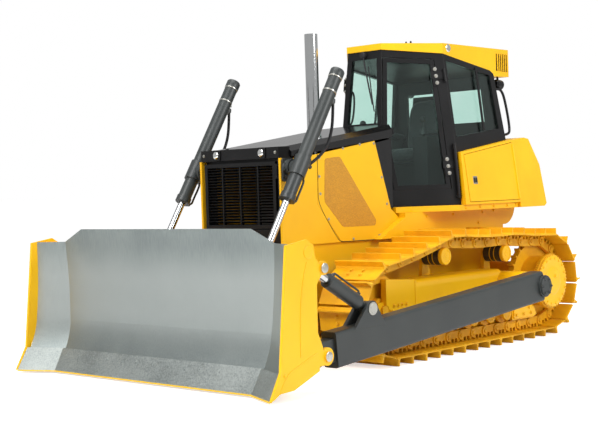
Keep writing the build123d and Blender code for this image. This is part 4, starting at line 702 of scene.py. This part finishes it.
# Two round working lamps in black bezels with cut corners, and the bolts of the nose bar
lens = plated_steel("lamp_reflector", "#F4F5F2", "#E2E4E2", 0.08, 0.008)
forwards = np.array([[0.0, 1, 0], [-1, 0, 0], [0, 0, 1]])
nose_y, lamp_z = -1.274, 1.945
bezel_outline = [
    (-0.055, -0.04), (-0.04, -0.05), (0.04, -0.05), (0.055, -0.04),
    (0.055, 0.04), (0.04, 0.05), (-0.04, 0.05), (-0.055, 0.04),
]
lens_profile = ((0.0, 0.034), (0.014, 0.034), (0.020, 0.026), (0.022, 0.012), (0.0225, 0.001))
lamp_xs, bolt_xs = (-0.29, 0.29), (-0.46, 0.46)
at = [(x, nose_y + 0.001, lamp_z) for x in lamp_xs]
bezels = copies(plate(bezel_outline, 0, 0.012), forwards, at)
lenses = [turned(lens_profile, (x, nose_y, lamp_z), (0, -1, 0), 32) for x in lamp_xs]
bolts = copies(hexagon_bolt(0.02, 0.008), forwards, [(x, nose_y, lamp_z) for x in bolt_xs])
piece("lamp_bezels", [bezels], satin_black, "hull", 0.003)
piece("lamp_lenses", lenses, lens, "hull")
piece("nose_bolts", [bolts], zinc, "hull")

# --------------------------------------------------------------- lift cylinders
# Two double-acting lift cylinders, honed tube under satin charcoal paint, trunnioned on
# the hull's yokes.
coat(charcoal, "lift_barrel_left", "lift_barrel_right")

# Places on a barrel: a distance up its axis from the pivot, and a height off its rear side
lift_x, pivot_y, pivot_z = 0.675, -1.190, 1.806
lift_way = np.array((0, 0.5373, 0.8433))
lift_back = np.array((0, 0.8433, -0.5373))
band_profile = ((-0.007, 0.0635), (-0.005, 0.066), (0.005, 0.066), (0.007, 0.0635))
barrel_cap = ((-0.01, 0.064), (0.0, 0.067), (0.066, 0.067), (0.076, 0.060), (0.076, 0.001))
port_block = ((-0.03, 0.022), (0.0, 0.030), (0.03, 0.022))
upper_union = ((0.0, 0.020), (0.05, 0.020), (0.055, 0.016))
lower_union = ((0.055, 0.018), (0.09, 0.018), (0.094, 0.012))
lower_pipe = (
    (-0.06, 0.072), (-0.07, 0.105), (-0.12, 0.112), (-0.24, 0.108), (-0.30, 0.112), (-0.315, 0.072),
)
flange_profile = ((0.0, 0.092), (0.012, 0.092), (0.016, 0.086), (0.016, 0.03))
flange_x, stud_x, stud_circle, yoke_z = 0.5405, 0.556, 0.078, 1.786
hose_route = ((0.74, 0.09), (0.66, 0.135), (0.52, 0.20), (0.36, 0.22), (0.20, 0.17), (0.07, 0.086))
hose_width = 0.028
low_band, high_band = 0.80, 0.955
for side, s in sides:
    body = f"lift_barrel_{side}"

    def on_barrel(up, back=0.0):
        """Pivot + up * lift_way + back * lift_back, on this side's barrel."""
        return np.array((s * lift_x, pivot_y, pivot_z)) + lift_way * up + lift_back * back

    # bright clamp bands, with the bolt of the lower one
    bands = [turned(band_profile, on_barrel(t), lift_way, 40) for t in (low_band, high_band)]
    bands.append(turned([(-0.014, 0.010), (0.014, 0.010)], on_barrel(low_band, 0.072), (1, 0, 0), 12))
    piece(f"lift_bands_{side}", bands, zinc, body)

    # cap, port block, the unions and the pipe to the lower port
    hard = [turned(barrel_cap, on_barrel(0.962), lift_way, 40)]
    hard.append(turned(port_block, on_barrel(0.745, 0.075), lift_way, 8))
    hard.append(turned(upper_union, on_barrel(0.07, 0.07), lift_back, 6))
    hard.append(bent([on_barrel(t, h) for t, h in lower_pipe], 0.010))
    for t in (lower_pipe[0][0], lower_pipe[-1][0]):
        hard.append(turned(lower_union, on_barrel(t), lift_back, 6))
    piece(f"lift_ports_{side}", hard, charcoal, body)

    # studded flange behind the pivot, on the hull's yoke
    flange = turned(flange_profile, (s * flange_x, pivot_y, yoke_z), (s, 0, 0), 40)
    studs = bolt_circle(s, 0.018, 0.010, 8, stud_circle, (s * stud_x, pivot_y, yoke_z))
    piece(f"yoke_flange_{side}", [flange, studs], charcoal, "hull")

    # two-wire rubber hose from the head port back to the union at the pivot
    route = [on_barrel(t, h) for t, h in hose_route]
    curve = bpy.data.curves.new(f"lift_hose_{side}", "CURVE")
    curve.dimensions = "3D"
    line = curve.splines.new("NURBS")
    line.points.add(len(route) - 1)
    for point, place in zip(line.points, route):
        point.co = (*place.tolist(), 1)
    line.order_u = 3
    line.use_endpoint_u = True
    line.resolution_u = 12
    curve.bevel_depth = hose_width / 2
    curve.bevel_resolution = 4
    curve.use_fill_caps = True
    curve.materials.append(rubber)
    hose = bpy.data.objects.new(f"lift_hose_{side}", curve)
    bpy.context.scene.collection.objects.link(hose)
    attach(hose, body)

# -------------------------------------------------------------------------- cab
# Folded steel frame in satin black under a yellow roof, glazed with bonded pale green
# safety glass.
coat(satin_black, "cab_frame", "cab_door_left", "cab_door_right")
coat(yellow, "cab_roof")

# Air louvres at the rear of the roof's sides: yellow blades over a satin black sheet, painted shade for the
# recess behind them
roof_x = 0.632
shade_outline = ((2.030, 2.995), (2.225, 2.995), (2.238, 2.806), (2.026, 2.812))
shade_sheets, blades = [], []
for side, s in sides:
    face = s * roof_x
    shade_sheets.append(plate(shade_outline, face, face + s * 0.003))
    for y in 2.042 + 0.037 * np.arange(6):
        blade = [(y, 2.996), (y + 0.014, 2.996), (y + 0.016, 2.808), (y + 0.002, 2.808)]
        blades.append(plate(blade, face, face + s * 0.012))
piece("louvre_painted_shade", shade_sheets, satin_black, "hull")
piece("louvre_blades", blades, yellow, "hull", 0.002)


def safety_glass(name, tint, pale_tint):
    """Tinted sheet that lets light through and mirrors it at a slant: the share of the Glossy
    is 0.04 + 0.9 (1 - cos a) ** 5, the same on both faces of a pane."""
    material, tree, place = blank(name)
    clouds = add(tree, "ShaderNodeTexNoise", {"Vector": place, "Scale": 1.5, "Detail": 2.0})
    share = add(tree, "ShaderNodeMapRange", {0: clouds.outputs[0], 1: 0.3, 2: 0.7, 3: 0.0, 4: 1.0})
    colour = add(
        tree, "ShaderNodeMix", {0: share.outputs[0], 6: linear(tint), 7: linear(pale_tint)},
        data_type="RGBA",
    )
    clear = add(tree, "ShaderNodeBsdfTransparent", {0: colour.outputs[2]})
    mirror = add(tree, "ShaderNodeBsdfGlossy", {"Color": linear("#F2FAF7"), "Roughness": 0.03})
    slant = add(tree, "ShaderNodeLayerWeight", {"Blend": 0.5})
    fifth = add(tree, "ShaderNodeMath", {0: slant.outputs["Facing"], 1: 5.0}, operation="POWER")
    more = add(
        tree, "ShaderNodeMath", {0: fifth.outputs[0], 1: 0.9, 2: 0.04}, operation="MULTIPLY_ADD",
    )
    both = add(tree, "ShaderNodeMixShader", {0: more.outputs[0], 1: clear.outputs[0], 2: mirror.outputs[0]})
    add(tree, "ShaderNodeOutputMaterial", {"Surface": both.outputs[0]})
    return material


# Laminated cab glass: nearly clear, with a trace of green
glass = safety_glass("green_safety_glass", "#EAF7F3", "#F0FAF7")
coat(glass, "cab_glass", "door_glass_left", "door_glass_right")

# The cab tapers upwards: its sides lean in and its front leans back from the sill
sill_z, front_y, front_lean = 1.56, 0.439, 0.102
cab_half, side_lean = 0.810, 0.133
corner_x, door_angle = 0.2878, math.radians(50.3)


def on_door(s, u, v, out=0.0):
    """Point on side s's door plane, u along it from the front corner and v up it from the
    sill, moved `out` along its outward normal."""
    c, d = math.cos(door_angle), math.sin(door_angle)
    across = np.array((s * c, d, 0))
    normal = np.array((s * d, -c, side_lean * d))
    normal /= np.linalg.norm(normal)
    up = np.cross(normal, across) * s
    return np.array((s * corner_x, front_y, sill_z)) + u * across + v * up + out * normal


def on_side(s, y, z, out=0.0):
    """Point on the cab's side: x = s (cab_half - side_lean (z - sill_z) + out)."""
    return s * (cab_half - side_lean * (z - sill_z) + out), y, z


# Hinge plates with three bright bolts each, the outer handle and the bar to pull it shut by
hinges = ((0.616, 1.156), (0.692, 0.234))
hinge_lean = -0.075
hinge_outline = (
    (-0.028, -0.105), (0.020, -0.105), (0.028 + hinge_lean * 0.4, 0.105), (-0.022 + hinge_lean * 0.4, 0.105),
)
handle_outline = ((-0.05, -0.03), (0.05, -0.03), (0.05, 0.03), (-0.05, 0.03))
pull_bar = ((0.075, 0.70, -0.06), (0.09, 0.70, -0.10), (0.08, 1.05, -0.10), (0.07, 1.05, -0.06))
for side, s in sides:
    door = f"cab_door_{side}"
    corner = on_door(s, 0, 0)
    steps = [on_door(s, 0, 0, 1), on_door(s, 1, 0), on_door(s, 0, 1)]
    turn = np.column_stack([step - corner for step in steps])
    at = [on_door(s, u, v, 0.001) for u, v in hinges]
    plates = [copies(plate(hinge_outline, 0.0, 0.010), turn, at)]
    plates.append(copies(plate(handle_outline, 0, 0.014), turn, [on_door(s, 0.10, 0.60, 0.001)]))
    plates.append(bent([on_door(s, *point) for point in pull_bar], 0.011))
    piece(f"door_hinge_plates_{side}", plates, satin_black, door, 0.003)
    at = [
        on_door(s, u + hinge_lean * dv * 1.6, v + dv, 0.011)
        for u, v in hinges for dv in (-0.07, 0.0, 0.07)
    ]
    bolts = copies(hexagon_bolt(0.026, 0.010), turn, at)
    piece(f"door_bolts_{side}", [bolts], zinc, door)

# Grab rails, the tubes and sills beside and under the doors, the mullions on the side
# panes, and the lamps on and under the roof
rail = (
    (1.935, 2.598), (2.02, 2.62), (2.115, 2.60), (2.150, 2.46), (2.165, 2.19), (2.12, 2.12), (1.985, 2.120),
)
tube = ((0.761, 0.460), (0.775, 0.2), (0.785, -0.096))
mullion = ((1.590, 2.160), (1.622, 2.160), (1.634, 2.820), (1.602, 2.824))
sill = ((0.10, 0.01), (0.72, 0.01), (0.735, -0.135), (0.118, -0.135))
button_profile = ((0.0, 0.040), (0.012, 0.040), (0.016, 0.034), (0.017, 0.001))
lamp_shell = ((-0.05, 0.030), (-0.03, 0.052), (0.045, 0.056), (0.05, 0.050))
lamp_glass = ((0.045, 0.047), (0.052, 0.044), (0.055, 0.02), (0.0555, 0.001))
lamp_stem = ((2.095, 2.76), (2.095, 2.72), (2.105, 2.70))
aerial_profile = ((-0.01, 0.012), (0.02, 0.012), (0.05, 0.008))
lamp_x, lamp_y, lamp_z = 0.60, 2.095, 2.668
rearwards = (0, 1, -0.15)
fixed, lamps = [], []
for side, s in sides:
    fixed.append(bent([on_side(s, y, z, -0.03) for y, z in rail], 0.014))
    fixed.append(bent([on_door(s, u, v, 0.03) for u, v in tube], 0.019))
    for v in (0.43, -0.07):
        stay = on_door(s, 0.77, v)
        fixed.append(turned([(-0.05, 0.012), (0.03, 0.012)], stay, (s * 0.77, -0.64, 0.0), 12))
    strip = np.array([on_side(s, y, z, 0.001) for y, z in mullion])
    fixed.append(skin([strip, strip + (s * 0.010, 0, 0)]))
    fixed.append(skin([[on_door(s, u, v, depth) for u, v in sill] for depth in (-0.002, -0.03)]))
    lamps.append(turned(button_profile, (s * 0.6225, 1.159, 3.0), (s, 0, 0), 28))
    fixed.append(bent([(s * lamp_x, y, z) for y, z in lamp_stem], 0.012))
    fixed.append(turned(lamp_shell, (s * lamp_x, lamp_y, lamp_z), rearwards, 24))
    lamps.append(turned(lamp_glass, (s * lamp_x, lamp_y, lamp_z), rearwards, 24))
piece("roof_lamps", lamps, lens, "hull")
for x in (0.18, 0.24):
    fixed.append(turned(aerial_profile, (x, 1.05, 3.055), (0, 0, 1), 12))
piece("rails_and_strips", fixed, satin_black, "hull")


def before_front(x, z, out):
    """Point `out` ahead of the cab's front, whose y is front_y + front_lean (z - sill_z)."""
    return x, front_y + front_lean * (z - sill_z) - out, z


# Windscreen wiper: motor cap, arm and blade
arm = ((0.0, 2.953), (0.094, 2.607), (0.150, 2.44))
wiping = ((0.075, 2.83), (0.112, 2.60), (0.168, 2.37))
wiper = [
    bent([before_front(x, z, 0.026) for x, z in arm], 0.008, 8),
    bent([before_front(x, z, 0.018) for x, z in wiping], 0.006, 8),
    turned([(-0.02, 0.034), (0.020, 0.034), (0.030, 0.024)], before_front(0, 2.95, 0.012), (0, -1, 0), 24),
]
piece("wiper", wiper, rubber, "hull")

# ---------------------------------------------------------------- seat and consoles
# A sprung seat on a steel box, covered in dark woven cloth, between moulded consoles with
# the travel and blade levers.
moulded = painted_steel("moulded_black_plastic", "#1D1D1F", "#262628", 0.55, 0.4, 0.3, 0.0015, 0.35)
coat(moulded, "consoles")


def woven(name, tone, thread_tone, thread):
    """Woven cover: warp and weft as two crossed fine waves, about `thread` metres apart, that
    tint the cloth and raise it, under a soft nap. X bands of scale 1 repeat every 0.314 m."""
    material, tree, place = blank(name)
    warp = add(
        tree, "ShaderNodeTexWave", {"Vector": place, "Scale": 0.314 / thread, "Distortion": 0.6},
        bands_direction="X",
    )
    weft = add(
        tree, "ShaderNodeTexWave", {"Vector": place, "Scale": 0.314 / thread, "Distortion": 0.6},
        bands_direction="DIAGONAL",
    )
    cross = add(
        tree, "ShaderNodeMath", {0: warp.outputs["Fac"], 1: weft.outputs["Fac"]},
        operation="MULTIPLY",
    )
    clouds = add(tree, "ShaderNodeTexNoise", {"Vector": place, "Scale": 14.0, "Detail": 3.0})
    share = add(
        tree, "ShaderNodeMix", {0: 0.4, 2: cross.outputs[0], 3: clouds.outputs[0]},
        data_type="FLOAT",
    )
    colour = add(
        tree, "ShaderNodeMix", {0: share.outputs[0], 6: linear(tone), 7: linear(thread_tone)},
        data_type="RGBA",
    )
    bump = add(tree, "ShaderNodeBump", {"Strength": 0.5, "Distance": 0.001, "Height": cross.outputs[0]})
    shader = add(
        tree, "ShaderNodeBsdfPrincipled",
        {
            "Base Color": colour.outputs[2],
            "Roughness": 0.85,
            "Sheen Weight": 0.3,
            "Normal": bump.outputs[0],
        },
    )
    add(tree, "ShaderNodeOutputMaterial", {"Surface": shader.outputs[0]})
    return material


# Dark grey woven seat cloth with a lighter thread, its 1 mm threads drawn 4 mm apart to show
cloth = woven("woven_seat_cloth", "#1B1C1E", "#4B4D50", 0.004)


def pad(half, centre, turn, crown):
    """Cushion over the superellipse |x/a|^4 + |y/b|^4 = 1, r from its middle out to its seam:
    half thickness c (1 - r^6)^0.5, and a top that is raised by crown (1 - r^2)."""
    a, b, c = half
    around = np.linspace(0, 2 * np.pi, 64, endpoint=False)
    co, si = np.cos(around), np.sin(around)
    edge = np.stack([a * np.sign(co) * np.abs(co) ** 0.5, b * np.sign(si) * np.abs(si) ** 0.5], -1)
    r = np.array([0.05, 0.3, 0.55, 0.75, 0.88, 0.96, 1.0])
    rise = c * (1 - r ** 6) ** 0.5
    over, under = rise + crown * (1 - r ** 2), -rise[-2::-1]
    # the top is 1 % smaller than the underside, so that its sides pull in to the seam
    reach = np.concatenate([0.99 * r, r[-2::-1]])
    height = np.concatenate([over, under])
    rings = [np.column_stack([edge * k, np.full(64, h)]) for k, h in zip(reach, height)]
    return copies(skin(rings), turn, [centre])


def swollen(cushion, cap):
    """Fills the cushion by cloth simulation under pressure, each point moving at most `cap`."""
    voxel, pressure, mass, last_frame = 0.009, 4, 0.3, 12
    remesh = cushion.modifiers.new("even_cloth", "REMESH")
    remesh.mode = "VOXEL"
    remesh.voxel_size = voxel
    graph = bpy.context.evaluated_depsgraph_get()
    even = bpy.data.meshes.new_from_object(cushion.evaluated_get(graph))
    cushion.modifiers.clear()
    cushion.data = even
    start = np.empty(len(even.vertices) * 3, np.float32)
    even.vertices.foreach_get("co", start)
    fill = cushion.modifiers.new("fill", "CLOTH")
    fill.settings.use_pressure = True
    fill.settings.uniform_pressure_force = pressure
    fill.settings.effector_weights.gravity = 0
    fill.settings.mass = mass
    for step in range(1, last_frame + 1):
        bpy.context.scene.frame_set(step)
    graph = bpy.context.evaluated_depsgraph_get()
    full = bpy.data.meshes.new_from_object(cushion.evaluated_get(graph))
    end = np.empty_like(start)
    full.vertices.foreach_get("co", end)
    move = (end - start).reshape(-1, 3)
    far = np.linalg.norm(move, axis=1)[:, None]
    move *= np.minimum(1, cap / np.maximum(far, 1e-9))
    cushion.modifiers.clear()
    even.vertices.foreach_set("co", (start.reshape(-1, 3) + move).ravel())
    even.polygons.foreach_set("use_smooth", np.ones(len(even.polygons), bool))
    even.update()
    bpy.context.scene.frame_set(1)


level = np.eye(3)
lean = math.atan2(0.11, 0.68)
leaning = np.column_stack([
    (1, 0, 0), (0, math.sin(lean), math.cos(lean)), (0, -math.cos(lean), math.sin(lean)),
])
cushions = (
    ("seat_cushion", (0.235, 0.235, 0.060), (0, 1.30, 1.925), level, 0.012, ["seat"]),
    ("back_cushion", (0.225, 0.315, 0.045), (0, 1.575, 2.225), leaning, 0.010, []),
)
for name, half, centre, turn, crown, stands_for in cushions:
    shape = pad(half, centre, turn, crown)
    made = piece(name, [shape], cloth, "hull", replaces=stands_for, smooth=60)
    swollen(made, 0.010)
    if not made.data.materials:
        made.data.materials.append(cloth)
    round_off = made.modifiers.new("round_off", "SUBSURF")
    round_off.levels = round_off.render_levels = 1

# Seat box, pan and back shell of moulded plastic
box_outline = ((1.18, 1.545), (1.48, 1.545), (1.46, 1.845), (1.20, 1.845))
pan_outline = ((1.06, 1.845), (1.55, 1.845), (1.55, 1.868), (1.06, 1.868))
back_outline = ((1.535, 1.88), (1.575, 1.87), (1.688, 2.55), (1.640, 2.57))
shells = [
    plate(outline, -half, half)
    for outline, half in ((box_outline, 0.17), (pan_outline, 0.235), (back_outline, 0.20))
]
piece("seat_shell", shells, moulded, "hull", 0.008)

# Arm rests, and the boots of the levers on the consoles
arm_x, lever_x = 0.27, 0.40
arm_line = ((1.56, 2.12), (1.52, 2.16), (1.22, 2.155), (1.16, 2.15))
boot_profile = ((0, 0.05), (0.02, 0.046), (0.05, 0.03), (0.07, 0.02))
arms = []
for side, s in sides:
    arms.append(bent([(s * arm_x, y, z) for y, z in arm_line], 0.026, 14))
    arms.append(turned(boot_profile, (s * lever_x, 1.01, 2.13), (0, 0, 1), 20))
piece("arm_rests", arms, moulded, "hull")

# ------------------------------------------------------ lockers, tank and fenders
# Sheet-steel lockers beside the cab over the tracks, with piano-hinged doors, and the
# fuel tank across the back.
coat(yellow, "compartments", "compartment_door_left", "compartment_door_right", "rear_tank")
locker_x, locker_z = 0.900, 1.40
hinge_y, knuckle, knuckle_r = 2.003, 0.04, 0.006


def on_locker(s, y, z, out=0.0):
    """Point on a locker's face, which leans in with the cab's side:
    x = s (locker_x - side_lean (z - locker_z) + out)."""
    return s * (locker_x - side_lean * (z - locker_z) + out), y, z


def block(s, y0, y1, z0, z1, base, thick):
    """Flat block on a locker's face, from `base` to `base + thick` off it."""
    corners = ((y0, z0), (y1, z0), (y1, z1), (y0, z1))
    low = np.array([on_locker(s, y, z, base) for y, z in corners])
    return skin([low, low + (s * thick, 0, 0)])


for side, s in sides:
    door = f"compartment_door_{side}"
    # paddle latch: a pale cup with two black thumb pads
    cup = block(s, 1.19, 1.265, 1.605, 1.685, 0.001, 0.006)
    piece(f"latch_cup_{side}", [cup], zinc, door, 0.002)
    pads = [block(s, y - 0.011, y + 0.011, 1.62, 1.67, 0.006, 0.006) for y in (1.210, 1.245)]
    piece(f"latch_pads_{side}", pads, moulded, door, 0.002)
    # rolled knuckles of the piano hinge
    profile = ((0, knuckle_r), (knuckle - 0.004, knuckle_r))
    hinge_way = (s * -0.1319, 0, 0.9913)
    knuckles = [
        turned(profile, on_locker(s, hinge_y, z, 0.003), hinge_way, 10)
        for z in np.arange(1.45, 1.98, knuckle)
    ]
    piece(f"piano_hinge_{side}", knuckles, shaded_forging_yellow, door)

# ------------------------------------------------------------------------- stage
# A pale seamless floor, which shows white but keeps the shadow, soft studio light from
# three boxes and the sky, and the camera at the machine's front left corner.
reach, drop = 400, 0.002
floor_mesh = bpy.data.meshes.new("studio_floor")
corners = [(-reach, -reach, -drop), (reach, -reach, -drop), (reach, reach, -drop), (-reach, reach, -drop)]
floor_mesh.from_pydata(corners, [], [(0, 1, 2, 3)])
floor = bpy.data.objects.new("studio_floor", floor_mesh)
bpy.context.scene.collection.objects.link(floor)
paper, tree, place = blank("white_paper_floor")
fibre = add(tree, "ShaderNodeTexNoise", {"Vector": place, "Scale": 3.0})
tone = add(
    tree, "ShaderNodeMix", {0: fibre.outputs[0], 6: linear("#F0F0F0"), 7: linear("#F2F2F2")},
    data_type="RGBA",
)
matt = add(tree, "ShaderNodeBsdfDiffuse", {"Color": tone.outputs[2]})
glow = add(tree, "ShaderNodeEmission", {"Color": linear("#FFFFFF"), "Strength": 0.60})
seen = add(tree, "ShaderNodeLightPath").outputs["Is Camera Ray"]
lifted = add(tree, "ShaderNodeAddShader", {0: matt.outputs[0], 1: glow.outputs[0]})
both = add(tree, "ShaderNodeMixShader", {0: seen, 1: matt.outputs[0], 2: lifted.outputs[0]})
add(tree, "ShaderNodeOutputMaterial", {"Surface": both.outputs[0]})
floor_mesh.materials.append(paper)

world = bpy.data.worlds.new("studio")
bpy.context.scene.world = world
world.use_nodes = True
tree = world.node_tree
tree.nodes.clear()
seen = add(tree, "ShaderNodeLightPath").outputs["Is Camera Ray"]
soft = add(tree, "ShaderNodeBackground", {"Color": (1, 1, 1, 1), "Strength": 0.5})
white = add(tree, "ShaderNodeBackground", {"Color": (1, 1, 1, 1), "Strength": 1.0})
both = add(tree, "ShaderNodeMixShader", {0: seen, 1: soft.outputs[0], 2: white.outputs[0]})
add(tree, "ShaderNodeOutputWorld", {"Surface": both.outputs[0]})


def softbox(name, place, towards, size, power):
    """Square area light at `place`, facing the point `towards`."""
    light = bpy.data.lights.new(name, "AREA")
    light.size = size
    light.energy = power
    made = bpy.data.objects.new(name, light)
    made.location = place
    aim = mathutils.Vector(towards) - mathutils.Vector(place)
    made.rotation_euler = aim.to_track_quat("-Z", "Y").to_euler()
    bpy.context.scene.collection.objects.link(made)


softbox("key", (1.0, -9.5, 9.0), (0, 0, 1), 5, 1100)
softbox("side", (12.0, 2.0, 7.0), (0, 0, 1), 5, 800)
softbox("top", (0, 0, 12.0), (0, 0, 0), 7, 700)

camera = bpy.data.cameras.new("camera")
camera.lens = 74.54
camera.sensor_width = 36
eye = bpy.data.objects.new("camera", camera)
bpy.context.scene.collection.objects.link(eye)
stand = (8.05028, -9.263, 1.61599)
roll = math.radians(-1.84)
forward = np.array([-0.67541, 0.73711, -0.02214])
forward /= np.linalg.norm(forward)
sideways = np.cross(forward, (0, 0, 1))
sideways /= np.linalg.norm(sideways)
upright = np.cross(sideways, forward)
right = math.cos(roll) * sideways + math.sin(roll) * upright
above = -math.sin(roll) * sideways + math.cos(roll) * upright
turn = np.eye(4)
turn[:3, :3] = np.column_stack([right, above, -forward])
turn[:3, 3] = stand
eye.matrix_world = mathutils.Matrix(turn.tolist())
bpy.context.scene.camera = eye
bpy.context.scene.view_settings.view_transform = "Standard"
